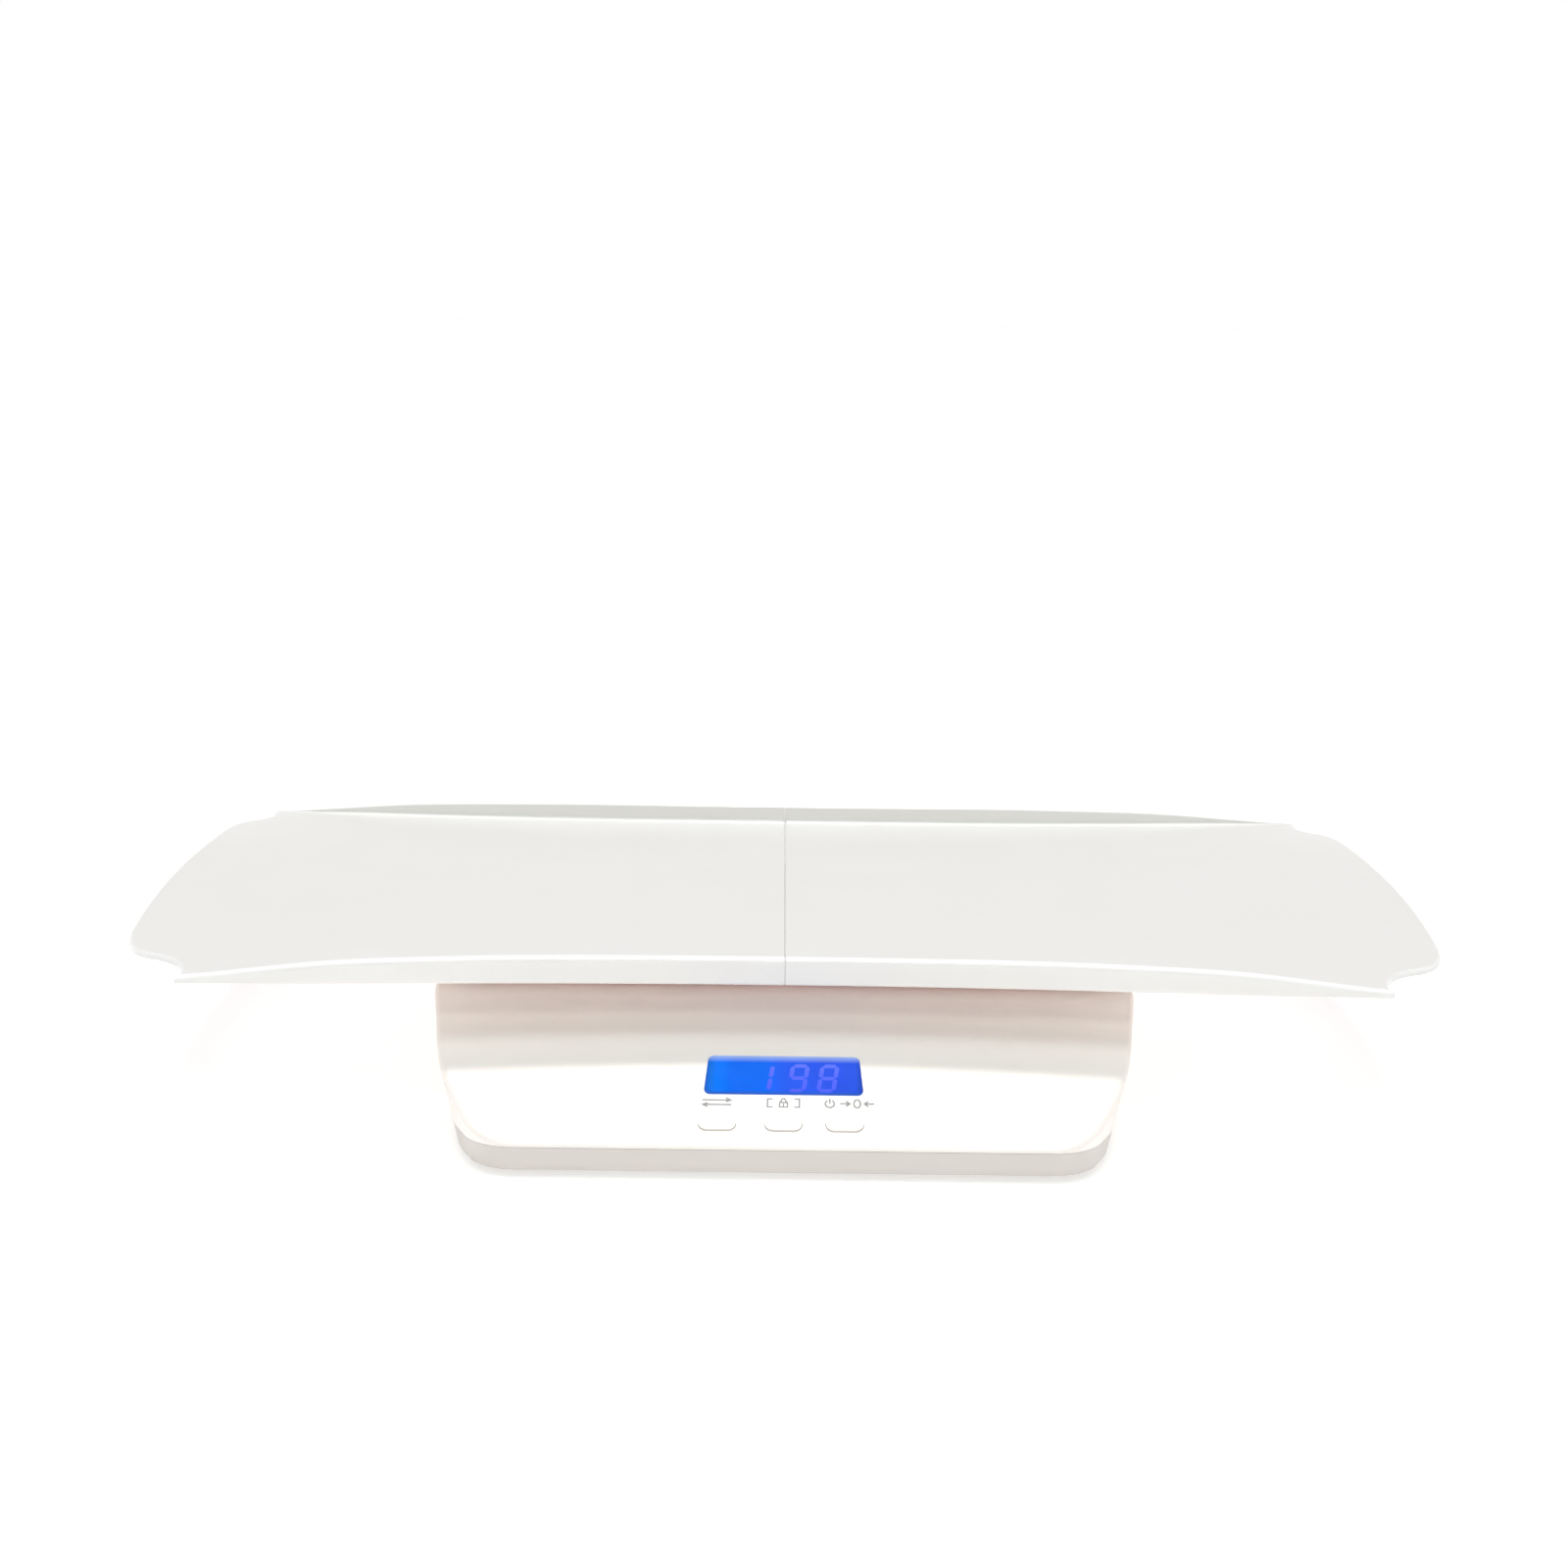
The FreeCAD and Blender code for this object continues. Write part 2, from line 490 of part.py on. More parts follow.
# ---------------------------------------------------------------- feet and load cells
gauges = []
for name, fx, fy in feet:
    cut("foot_cap_" + name, fuse(uname("cap"), cyl(P("cap_rad"), fx, fy, 1.6, 6.4), cyl(P("cap_flange"), fx, fy, 6.0, 8.0), cyl(4.0, fx, fy, 7.5, P("cell_low"))),
        cyl(P("pad_rad") + 0.05, fx, fy, 0.0, P("pad_thick")))
    pb = cyl(P("pad_rad"), fx, fy, 0.0, P("pad_thick"))
    pb.Label = "foot_pad_" + name
    hs = P("cell_size") / 2
    zt = P("cell_low") + P("cell_thick")
    cut("load_cell_" + name, box(fx - hs, fx + hs, fy - hs, fy + hs, P("cell_low"), zt),
        box(fx - 11, fx - 9, fy - 11, fy + 11, P("cell_low") - 1, zt + 1), box(fx + 9, fx + 11, fy - 11, fy + 11, P("cell_low") - 1, zt + 1),
        box(fx - 11, fx + 11, fy + 9, fy + 11, P("cell_low") - 1, zt + 1))
    gauges.append(box(fx - 3.5, fx + 3.5, fy - 9.5, fy - 4.5, zt, zt + 0.9))
    qs = P("seat_size") / 2
    cut("cell_seat_" + name, box(fx - qs, fx + qs, fy - qs, fy + qs, zt, P("seat_top")), cyl(13.5, fx, fy, zt - 1, P("seat_top") + 1))
compound("strain_gauges", *gauges)

# ---------------------------------------------------------------- battery bay
mid = (P("bay_front") + P("bay_back")) / 2
rows = [mid + P("aaa_pitch") * k for k in (-1.5, -0.5, 0.5, 1.5)]
cells, springs, plates = [], [], []
half = P("aaa_len") / 2
for i, ry in enumerate(rows):
    s = 1 if i % 2 == 0 else -1
    body_a, body_b = (-half, half - 1.0)
    can = xcyl(P("aaa_rad"), -half + (0.0 if s > 0 else 1.0), half - (1.0 if s > 0 else 0.0), ry, P("aaa_z"))
    nub = xcyl(1.9, half - 1.5, half, ry, P("aaa_z")) if s > 0 else xcyl(1.9, -half, -half + 1.5, ry, P("aaa_z"))
    cells.append(fuse(uname("aaa"), can, nub))
    # springs as closed conical sleeves at the flat end, plates behind both ends
    c = doc.addObject("Part::Cone", uname("spring"))
    bind(c, "Radius1", 3.4)
    bind(c, "Radius2", 2.4)
    bind(c, "Height", P("bay_half") - 0.6 - half - 0.05)
    c2 = doc.addObject("Part::Cone", uname("springbore"))
    bind(c2, "Radius1", 2.7)
    bind(c2, "Radius2", 1.7)
    bind(c2, "Height", P("bay_half") - 0.6 - half - 0.05)
    ang = 90 if s > 0 else -90
    for o in (c, c2):
        o.Placement = FreeCAD.Placement(V3(0, 0, 0), FreeCAD.Rotation(V3(0, 1, 0), ang))
        bind_base(o, (-(P("bay_half") - 0.6)) if s > 0 else (P("bay_half") - 0.6), ry, P("aaa_z"))
    springs.append(cut(uname("coil"), c, c2))
    plates.append(box(-P("bay_half") + 0.05, -P("bay_half") + 0.6, ry - 4.4, ry + 4.4, 7.6, 17.4))
    plates.append(box(P("bay_half") - 0.6, P("bay_half") - 0.05, ry - 4.4, ry + 4.4, 7.6, 17.4))
compound("battery_cells", *cells)
compound("battery_springs", *springs)
compound("battery_plates", *plates)
door_top = P("base_low") + P("door_thick")
door = fuse("door_blank", box(-P("bay_half") + 0.4, P("bay_half") - 0.4, P("bay_front") + 0.4, P("bay_back") - 0.3, P("base_low"), door_top),
            box(-26.5, -18.5, P("bay_back") - 7, P("bay_back") - 0.6, door_top - 0.5, 6.9), box(18.5, 26.5, P("bay_back") - 7, P("bay_back") - 0.6, door_top - 0.5, 6.9),
            box(-26.5, -18.5, P("bay_back") - 7, P("bay_back") + 0.8, 5.75, 6.9), box(18.5, 26.5, P("bay_back") - 7, P("bay_back") + 0.8, 5.75, 6.9))
# finger grip: a shallow dished recess with ridges near the front edge
cut("battery_door", door, box(-9.0, 9.0, P("bay_front") + 4, P("bay_front") + 6, P("base_low") - 1, P("base_low") + 0.8),
    box(-9.0, 9.0, P("bay_front") + 8, P("bay_front") + 10, P("base_low") - 1, P("base_low") + 0.8),
    box(-9.0, 9.0, P("bay_front") + 12, P("bay_front") + 14, P("base_low") - 1, P("base_low") + 0.8))

# ---------------------------------------------------------------- screws, stiffener, rails
cs = []
for sx, sy in screws:
    head = cut(uname("head"), cyl(P("head_rad"), sx, sy, 3.7, 5.8), box(sx - 2.2, sx + 2.2, sy - 0.4, sy + 0.4, 3.0, 4.7), box(sx - 0.4, sx + 0.4, sy - 2.2, sy + 2.2, 3.0, 4.7))
    cs.append(fuse(uname("screw"), head, cyl(P("screw_rad"), sx, sy, 5.5, 22.0)))
compound("case_screws", *cs)
st_top = P("plat_z") - P("wall")
st_low = st_top - P("stiff_thick")
cut("platform_stiffener", box(-P("stiff_half") - 14, P("stiff_half") + 14, P("stiff_front"), P("stiff_back"), st_low, st_top),
    box(-P("stiff_half") - 15, -P("stiff_half"), 72.0, 120.0, st_low - 1, st_top + 1), box(P("stiff_half"), P("stiff_half") + 15, 72.0, 120.0, st_low - 1, st_top + 1),
    *[cyl(1.15, hx, ry, st_low - 1, st_top + 1) for _, ry in rails for hx in rail_holes])
rs = []
for label, ry in rails:
    cut(label, fuse(uname("tee"), box(-P("rail_half"), P("rail_half"), ry - P("stem_half"), ry + P("stem_half"), P("plat_z"), P("rail_head_low") + 0.5),
                    box(-P("rail_half"), P("rail_half"), ry - P("rail_head_half"), ry + P("rail_head_half"), P("rail_head_low"), P("rail_top"))),
        *([cyl(1.5, hx, ry, P("plat_z") - 1, P("rail_top") + 1) for hx in rail_holes] + [cyl(3.1, hx, ry, P("rail_top") - 2.2, P("rail_top") + 1) for hx in rail_holes]))
    for hx in rail_holes:
        rs.append(fuse(uname("screw"), cyl(2.8, hx, ry, P("rail_top") - 2.2, P("rail_top") - 0.3), cyl(1.1, hx, ry, st_low - 1.0, P("rail_top") - 2.0)))
compound("rail_screws", *rs)


# ---------------------------------------------------------------- wires
def num(alias):
    return float(sheet.get(alias))


# tube through corner points, straight runs joined by tangent arcs
def tube(points, radius, bend):
    pts = [V3(*p) for p in points]
    edges, cur = [], pts[0]
    length = 0.0
    for i in range(1, len(pts) - 1):
        a, b, c = pts[i - 1], pts[i], pts[i + 1]
        d1, d2 = (b - a), (c - b)
        l1, l2 = d1.Length, d2.Length
        d1.normalize()
        d2.normalize()
        turn = d1.getAngle(d2)
        t = min(bend * math.tan(turn / 2), 0.45 * min(l1, l2))
        r = t / math.tan(turn / 2)
        p1, p2 = b - d1 * t, b + d2 * t
        bis = (d2 - d1)
        bis.normalize()
        centre = b + bis * (r / math.cos(turn / 2))
        pm = centre - bis * r
        edges.append(Part.makeLine(cur, p1))
        edges.append(Part.Arc(p1, pm, p2).toShape())
        length += (p1 - cur).Length + r * turn
        cur = p2
    edges.append(Part.makeLine(cur, pts[-1]))
    length += (pts[-1] - cur).Length
    wire = Part.Wire(edges)
    d = pts[1] - pts[0]
    prof = Part.Wire([Part.makeCircle(radius, pts[0], d)])
    solid = wire.makePipeShell([prof], True, False)
    print("tube volume %.2f expected %.2f" % (solid.Volume, math.pi * radius ** 2 * length))
    return solid


def feature(label, shape, base=V3(0, 0, 0)):
    o = doc.addObject("Part::Feature", uname("shape"))
    o.Shape = shape
    o.Placement = FreeCAD.Placement(base, FreeCAD.Rotation())
    o.Label = label
    return o


def panel_point(x, v, w):
    c, s = COS.v, SIN.v
    return (x, num("panel_y") + v * c - w * s, num("panel_z") + v * s + w * c)


fx, ff, fr = num("foot_x"), num("foot_front"), num("foot_rear")
edge = fx - num("cell_size") / 2 - 0.3
blow = num("board_top") - num("board_thick") - 0.7
lw = []
for s in (-1, 1):
    p = panel_point(s * 34, 20, blow)
    lw.append(tube([(s * edge, ff, 10.0), (s * 76, ff - 1, 10.4), (s * 60, ff - 14, 10.6), (s * 40, p[1] + 10, 11.0), (s * 34, p[1] + 0.4 * 4, p[2] - 0.95 * 4 * 0.8), p], 0.9, 6.0))
    q = panel_point(s * 28, 30, blow)
    lw.append(tube([(s * edge, fr, 10.0), (s * 74, fr - 4, 10.4), (s * 56, fr - 26, 10.6), (s * 54, 20, 10.6), (s * 55, -40, 10.6), (s * 53, -90, 10.6), (s * 36, q[1] + 12, 12.0), (s * 28, q[1] + 2.2, q[2] - 3.3), q], 0.9, 6.0))
feature("load_cell_wires", Part.Compound(lw))
bw = []
for s in (-1, 1):
    yb = num("bay_front") - 2.3
    p = panel_point(s * 12 - 6, 44, blow)
    bw.append(tube([(s * 24, yb, 12.0), (s * 23, yb - 12, 12.0), (s * 18, -40, 12.0), (s * 14, -80, 13.0), (p[0] + s * 1.5, p[1] + 8, p[2] - 10), p], 0.9, 7.0))
feature("battery_wires", Part.Compound(bw))


# ---------------------------------------------------------------- tray
# plan outline of one half, x outward from the seam, y from the tray's own centre line
def tray_half(label, sign):
    ty, lo, th = num("tray_y"), num("tray_low"), num("sheet_thick")
    g = num("seam_gap") / 2
    ey, ex = num("edge_y"), num("end_x")
    rx, ry = num("root_x"), num("root_y")
    flat, rise = num("flat_x"), num("end_rise")
    z0 = lo - 12
    corner = {}
    for s, pre in ((-1, ""), (1, "far_")):
        corner[s] = [(num(pre + k + "_x"), s * num(pre + k + "_y")) for k in ("tip", "bite", "flap")]

    # seam to tip, gently waisted; concave bite from the tip to the flap; convex horn from the flap to the end edge
    def side(s):
        (tx, tyy), (bx, by), (fx_, fy_) = corner[s]
        e = Part.BezierCurve()
        e.setPoles([V3(g, s * ey, z0), V3(tx / 2, s * ey, z0), V3(tx, tyy, z0)])
        bite = Part.Arc(V3(tx, tyy, z0), V3(bx, by, z0), V3(fx_, fy_, z0))
        c = bite.toShape().Curve.Center
        away = V3((fy_ - c.y) * s, -(fx_ - c.x) * s, 0).normalize() * -num("flap_pull")
        end_rad = (ry ** 2 + (ex - rx) ** 2) / (2 * (ex - rx))
        along = V3(-ry / end_rad, s, 0).normalize() * num("horn_pull")
        horn = Part.BezierCurve()
        horn.setPoles([V3(fx_, fy_, z0), V3(fx_, fy_, z0) + away, V3(rx, s * ry, z0) + along, V3(rx, s * ry, z0)])
        return [e.toShape(), bite.toShape(), horn.toShape()]

    end = Part.Arc(V3(rx, -ry, z0), V3(ex, 0, z0), V3(rx, ry, z0)).toShape()
    seam = Part.makeLine(V3(g, ey, z0), V3(g, -ey, z0))
    wire = Part.Wire(Part.__sortEdges__(side(-1) + [end] + side(1) + [seam]))
    block = Part.Face(wire).extrude(V3(0, 0, 40))

    # blunt the tips
    def upright_at(e, x, y):
        a, b = e.Vertexes[0].Point, e.Vertexes[-1].Point
        return abs(a.z - b.z) > 30 and abs(a.x - x) < 0.5 and abs(a.y - y) < 0.5
    for s in (-1, 1):
        block = block.makeFillet(0.9, [e for e in block.Edges if upright_at(e, *corner[s][0])])
    # floor sheet: flat over the base, then rising towards the middle of the end edge and level along both long edges
    reach, half_y, fade = ex + 8, 175.0, num("tip_y") + 4

    def rising(z, depth):
        k = rise * ((reach - flat) / (ex - flat)) ** 2
        w_side, w_mid = 1 - (half_y / fade) ** 2, 1 + (half_y / fade) ** 2
        surf = Part.BezierSurface()
        surf.increase(2, 2)
        for i, (x, u) in enumerate(((flat, 0.0), ((flat + reach) / 2, 0.0), (reach, 1.0)), start=1):
            for j, (y, w) in enumerate(((-half_y, w_side), (0.0, w_mid), (half_y, w_side)), start=1):
                surf.setPole(i, j, V3(x, y, z + k * u * w))
        return surf.toShape().extrude(V3(0, 0, -depth))

    def level(z, depth):
        return Part.makeBox(flat + 5, 2 * half_y, depth, V3(-5, -half_y, z - depth))

    floor = block.common(level(lo + th, th)).fuse(block.common(rising(lo + th, th)))
    # lips: strip of the plan next to each long edge, arched on top, fading into the sheet at the tips
    lt, lh = num("lip_thick"), num("lip_high")
    heights = [(-6, lh), (60, lh), (115, lh - 0.2), (155, lh - 1.0), (172, lh - 1.5), (190, lh - 2.5), (205, lh - 3.8), (218, lh - 5.1), (235, th + 1.3), (252, th + 0.3)]
    bodies = [floor]
    for s in (-1, 1):
        tx, tyy = corner[s][0]
        tops = [(x if x < 150 else x + (tx - num("tip_x")) * (x - 150) / 102, h) for x, h in heights]
        curve = Part.BSplineCurve()
        curve.interpolate([V3(x, -220, lo + h) for x, h in tops])
        top_e = curve.toShape()
        pa, pb_ = V3(tops[0][0], -220, lo + tops[0][1]), V3(tops[-1][0], -220, lo + tops[-1][1])
        low_a, low_b = V3(pa.x, -220, lo), V3(pb_.x, -220, lo)
        arch = Part.Face(Part.Wire(Part.__sortEdges__([top_e, Part.makeLine(pb_, low_b), Part.makeLine(low_b, low_a), Part.makeLine(low_a, pa)]))).extrude(V3(0, 440, 0))
        inner_curve = Part.BezierCurve()
        inner_curve.setPoles([V3(g, s * (ey - lt), z0), V3(tx / 2, s * (ey - lt), z0), V3(tx + 3, tyy - s * lt, z0)])
        outer_curve = Part.BezierCurve()
        outer_curve.setPoles([V3(g, s * (ey + 6), z0), V3(tx / 2, s * (ey + 6), z0), V3(tx + 3, tyy + s * 6, z0)])
        ic, oc = inner_curve.toShape(), outer_curve.toShape()
        strip = Part.Face(Part.Wire(Part.__sortEdges__([ic, oc, Part.makeLine(V3(g, s * (ey - lt), z0), V3(g, s * (ey + 6), z0)),
                                                       Part.makeLine(V3(tx + 3, tyy - s * lt, z0), V3(tx + 3, tyy + s * 6, z0))]))).extrude(V3(0, 0, 40))
        lip = block.common(strip).common(arch)
        bodies.append(lip)
    solid = bodies[0].fuse(bodies[1:]).removeSplitter()
    # underside: ribs, and the two channels that ride on the rails
    cs_, ce = num("chan_start"), num("chan_end")
    under = []
    for rail in (num("rail_front_y") - ty, num("rail_rear_y") - ty):
        w_in, w_out = num("rail_head_half") + 0.4, num("rail_head_half") + 2.9
        gap = num("stem_half") + 0.5
        zl, zh = num("rail_head_low") - 3.2, num("rail_head_low") - 0.4
        for k in (-1, 1):
            ys = sorted((rail + k * w_in, rail + k * w_out))
            under.append(Part.makeBox(ce - cs_, ys[1] - ys[0], lo + 0.5 - zl, V3(cs_, ys[0], zl)))
            ys = sorted((rail + k * gap, rail + k * (w_in + 0.5)))
            under.append(Part.makeBox(ce - cs_, ys[1] - ys[0], zh - zl, V3(cs_, ys[0], zl)))
    rd, rt = num("rib_depth"), num("rib_thick")
    for y in (-118.0, -31.0, 31.0, 118.0):
        under.append(Part.makeBox(218.0, rt, rd + 6.0, V3(6.0, y - rt / 2, lo - rd)))
    for x in (128.0, 176.0, 222.0):
        under.append(Part.makeBox(rt, 236.0, rd + 6.0, V3(x, -118.0, lo - rd)))
    ribs = under[0].fuse(under[1:])
    # ribs stop inside the sheet, short of its upper face
    ribs = ribs.common(level(lo + 1.0, 21.0)).fuse(ribs.common(rising(lo + 1.0, 21.0)))
    solid = solid.fuse(ribs).removeSplitter()
    if sign < 0:
        solid = solid.mirror(V3(0, 0, 0), V3(1, 0, 0))
    if solid.ShapeType == "Compound" and len(solid.Solids) == 1:
        solid = solid.Solids[0]
    return feature(label, solid, V3(0, ty, 0))


tray_half("tray_left", -1)
tray_half("tray_right", 1)

# ---------------------------------------------------------------- write
doc.recompute()
KEEP = ["top_cover", "bottom_shell", "display_window", "lcd_glass", "backlight_panel", "zebra_strip", "lcd_frame", "main_board", "board_chip",
        "key_switches", "board_screws", "button_unit", "button_hold", "button_power"]
for name, _, _ in feet:
    KEEP += ["foot_cap_" + name, "foot_pad_" + name, "load_cell_" + name, "cell_seat_" + name]
KEEP += ["strain_gauges", "battery_cells", "battery_springs", "battery_plates", "battery_door", "case_screws", "platform_stiffener",
         "rail_front", "rail_rear", "rail_screws", "load_cell_wires", "battery_wires", "tray_left", "tray_right"]
bad = [o.Label for o in doc.Objects if "Invalid" in o.State or "Error" in o.State]
if bad:
    raise RuntimeError("failed objects: %s" % bad)
parts = {}
for label in KEEP:
    found = [o for o in doc.Objects if o.Label == label]
    if len(found) != 1:
        raise RuntimeError("%s: %d objects carry this label" % (label, len(found)))
    shape = found[0].Shape
    if shape.isNull() or not shape.isValid() or not shape.Solids:
        raise RuntimeError("%s: bad shape" % label)
    parts[label] = found[0]
    print("%-24s solids %d volume %.1f" % (label, len(shape.Solids), shape.Volume))
os.makedirs("parts", exist_ok=True)
for label, obj in parts.items():
    obj.Shape.exportStep("parts/%s.step" % label)
print("wrote", len(parts))
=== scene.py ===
import math

import bmesh
import bpy
import numpy as np
from mathutils import Matrix, Vector


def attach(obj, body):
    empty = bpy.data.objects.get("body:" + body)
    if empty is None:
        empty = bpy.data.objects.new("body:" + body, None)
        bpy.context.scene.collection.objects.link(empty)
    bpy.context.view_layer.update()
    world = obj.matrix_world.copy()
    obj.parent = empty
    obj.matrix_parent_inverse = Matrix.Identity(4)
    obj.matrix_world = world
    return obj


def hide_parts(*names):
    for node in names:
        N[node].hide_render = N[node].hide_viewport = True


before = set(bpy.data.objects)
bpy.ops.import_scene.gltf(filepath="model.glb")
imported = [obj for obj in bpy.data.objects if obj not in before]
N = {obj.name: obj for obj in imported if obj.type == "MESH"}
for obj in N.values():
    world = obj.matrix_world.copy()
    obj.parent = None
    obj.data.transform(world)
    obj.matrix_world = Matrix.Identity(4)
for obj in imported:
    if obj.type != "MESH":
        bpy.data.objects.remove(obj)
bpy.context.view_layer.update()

MM = 0.001

# ------------------------------------------------------------------ the sloped panel's own plane (millimetres)
RUN, RISE = 68.0, 45.5
HYP = math.hypot(RUN, RISE)
COS, SIN = RUN / HYP, RISE / HYP
PANEL_Y, PANEL_Z = -174.0, 14.5


def panel(x, v, w=0.0):
    return Vector((x, PANEL_Y + v * COS - w * SIN, PANEL_Z + v * SIN + w * COS)) * MM


# ------------------------------------------------------------------ materials
def new_material(name):
    m = bpy.data.materials.new(name)
    m.use_nodes = True
    nt = m.node_tree
    bsdf = next(n for n in nt.nodes if n.type == "BSDF_PRINCIPLED")
    return m, nt, bsdf


def plastic(name, colour, rough=0.4, vary=0.015, grain=0.00025, bump=0.05, rough_vary=0.05, specular=0.5,
            wave=0.0, wave_scale=14.0, coat=0.0, coat_rough=0.1, tint=None, edge=None, glow=None):
    """Moulded plastic: faint cloudy colour, uneven gloss, spark-eroded grain, and a long soft waviness from shrinkage."""
    m, nt, b = new_material(name)
    L = nt.links
    tc = nt.nodes.new("ShaderNodeTexCoord")
    cloud = nt.nodes.new("ShaderNodeTexNoise")
    cloud.inputs["Scale"].default_value = 18.0
    cloud.inputs["Detail"].default_value = 3.0
    L.new(tc.outputs["Object"], cloud.inputs["Vector"])
    ramp = nt.nodes.new("ShaderNodeValToRGB")
    ramp.color_ramp.elements[0].position = 0.3
    ramp.color_ramp.elements[1].position = 0.7
    lo = [max(0.0, c * (1 - vary)) for c in colour]
    hi = [min(1.0, c * (1 + vary)) for c in colour]
    if tint:
        lo = [a * t for a, t in zip(lo, tint)]
    ramp.color_ramp.elements[0].color = (*lo, 1)
    ramp.color_ramp.elements[1].color = (*hi, 1)
    L.new(cloud.outputs["Fac"], ramp.inputs["Fac"])
    colour_out = ramp.outputs["Color"]
    # painted highlight: where the edge attribute is set, the colour is blended towards a paler edge colour, mottled by
    # noise
    if edge:
        mask = nt.nodes.new("ShaderNodeAttribute")
        mask.attribute_name = "edge"
        rim_highlight_noise = nt.nodes.new("ShaderNodeTexNoise")
        rim_highlight_noise.inputs["Scale"].default_value = 30.0
        rim_highlight_noise.inputs["Detail"].default_value = 3.0
        L.new(tc.outputs["Object"], rim_highlight_noise.inputs["Vector"])
        rim_highlight_level = nt.nodes.new("ShaderNodeMapRange")
        rim_highlight_level.inputs["From Min"].default_value = 0.2
        rim_highlight_level.inputs["From Max"].default_value = 0.6
        rim_highlight_level.inputs["To Min"].default_value = 0.72
        rim_highlight_level.inputs["To Max"].default_value = 1.0
        L.new(rim_highlight_noise.outputs["Fac"], rim_highlight_level.inputs["Value"])
        both = nt.nodes.new("ShaderNodeMath")
        both.operation = "MULTIPLY"
        L.new(mask.outputs["Fac"], both.inputs[0])
        L.new(rim_highlight_level.outputs["Result"], both.inputs[1])
        mixed = nt.nodes.new("ShaderNodeMix")
        mixed.data_type = "RGBA"
        L.new(both.outputs["Value"], mixed.inputs["Factor"])
        L.new(colour_out, mixed.inputs["A"])
        mixed.inputs["B"].default_value = (*edge, 1)
        colour_out = mixed.outputs["Result"]
    L.new(colour_out, b.inputs["Base Color"])
    smear = nt.nodes.new("ShaderNodeTexNoise")
    smear.inputs["Scale"].default_value = 55.0
    smear.inputs["Detail"].default_value = 4.0
    L.new(tc.outputs["Object"], smear.inputs["Vector"])
    rr = nt.nodes.new("ShaderNodeMapRange")
    rr.inputs["From Min"].default_value = 0.25
    rr.inputs["From Max"].default_value = 0.75
    rr.inputs["To Min"].default_value = rough - rough_vary
    rr.inputs["To Max"].default_value = rough + rough_vary
    L.new(smear.outputs["Fac"], rr.inputs["Value"])
    L.new(rr.outputs["Result"], b.inputs["Roughness"])
    fine = nt.nodes.new("ShaderNodeTexNoise")
    fine.inputs["Scale"].default_value = 1.0 / grain
    fine.inputs["Detail"].default_value = 2.0
    L.new(tc.outputs["Object"], fine.inputs["Vector"])
    bp = nt.nodes.new("ShaderNodeBump")
    bp.inputs["Strength"].default_value = bump
    bp.inputs["Distance"].default_value = 0.0001
    L.new(fine.outputs["Fac"], bp.inputs["Height"])
    if wave:
        big = nt.nodes.new("ShaderNodeTexNoise")
        big.inputs["Scale"].default_value = wave_scale
        big.inputs["Detail"].default_value = 1.0
        L.new(tc.outputs["Object"], big.inputs["Vector"])
        bw = nt.nodes.new("ShaderNodeBump")
        bw.inputs["Strength"].default_value = 1.0
        bw.inputs["Distance"].default_value = wave
        L.new(big.outputs["Fac"], bw.inputs["Height"])
        L.new(bp.outputs["Normal"], bw.inputs["Normal"])
        L.new(bw.outputs["Normal"], b.inputs["Normal"])
    else:
        L.new(bp.outputs["Normal"], b.inputs["Normal"])
    b.inputs["Specular IOR Level"].default_value = specular
    if coat:
        b.inputs["Coat Weight"].default_value = coat
        b.inputs["Coat Roughness"].default_value = coat_rough
    if glow:        # painted light: the surface glows, standing in for daylight that the thin white sheet lets through
        b.inputs["Emission Color"].default_value = (*glow[0], 1)
        b.inputs["Emission Strength"].default_value = glow[1]
    return m


def metal(name, colour, rough=0.3, brushed=(1.0, 1.0, 12.0), tarnish=(0.75, 0.72, 0.68)):
    """Plated or brushed metal with faint scratches along one direction and a little tarnish."""
    m, nt, b = new_material(name)
    L = nt.links
    tc = nt.nodes.new("ShaderNodeTexCoord")
    mp = nt.nodes.new("ShaderNodeMapping")
    mp.inputs["Scale"].default_value = brushed
    L.new(tc.outputs["Object"], mp.inputs["Vector"])
    n1 = nt.nodes.new("ShaderNodeTexNoise")
    n1.inputs["Scale"].default_value = 260.0
    n1.inputs["Detail"].default_value = 5.0
    L.new(mp.outputs["Vector"], n1.inputs["Vector"])
    n2 = nt.nodes.new("ShaderNodeTexNoise")
    n2.inputs["Scale"].default_value = 90.0
    n2.inputs["Detail"].default_value = 3.0
    L.new(tc.outputs["Object"], n2.inputs["Vector"])
    ramp = nt.nodes.new("ShaderNodeValToRGB")
    ramp.color_ramp.elements[0].position = 0.35
    ramp.color_ramp.elements[1].position = 0.75
    ramp.color_ramp.elements[0].color = (*[c * t for c, t in zip(colour, tarnish)], 1)
    ramp.color_ramp.elements[1].color = (*colour, 1)
    L.new(n2.outputs["Fac"], ramp.inputs["Fac"])
    L.new(ramp.outputs["Color"], b.inputs["Base Color"])
    rr = nt.nodes.new("ShaderNodeMapRange")
    rr.inputs["To Min"].default_value = max(0.05, rough - 0.1)
    rr.inputs["To Max"].default_value = rough + 0.12
    L.new(n1.outputs["Fac"], rr.inputs["Value"])
    L.new(rr.outputs["Result"], b.inputs["Roughness"])
    bp = nt.nodes.new("ShaderNodeBump")
    bp.inputs["Strength"].default_value = 0.12
    bp.inputs["Distance"].default_value = 0.0001
    L.new(n1.outputs["Fac"], bp.inputs["Height"])
    L.new(bp.outputs["Normal"], b.inputs["Normal"])
    b.inputs["Metallic"].default_value = 1.0
    return m


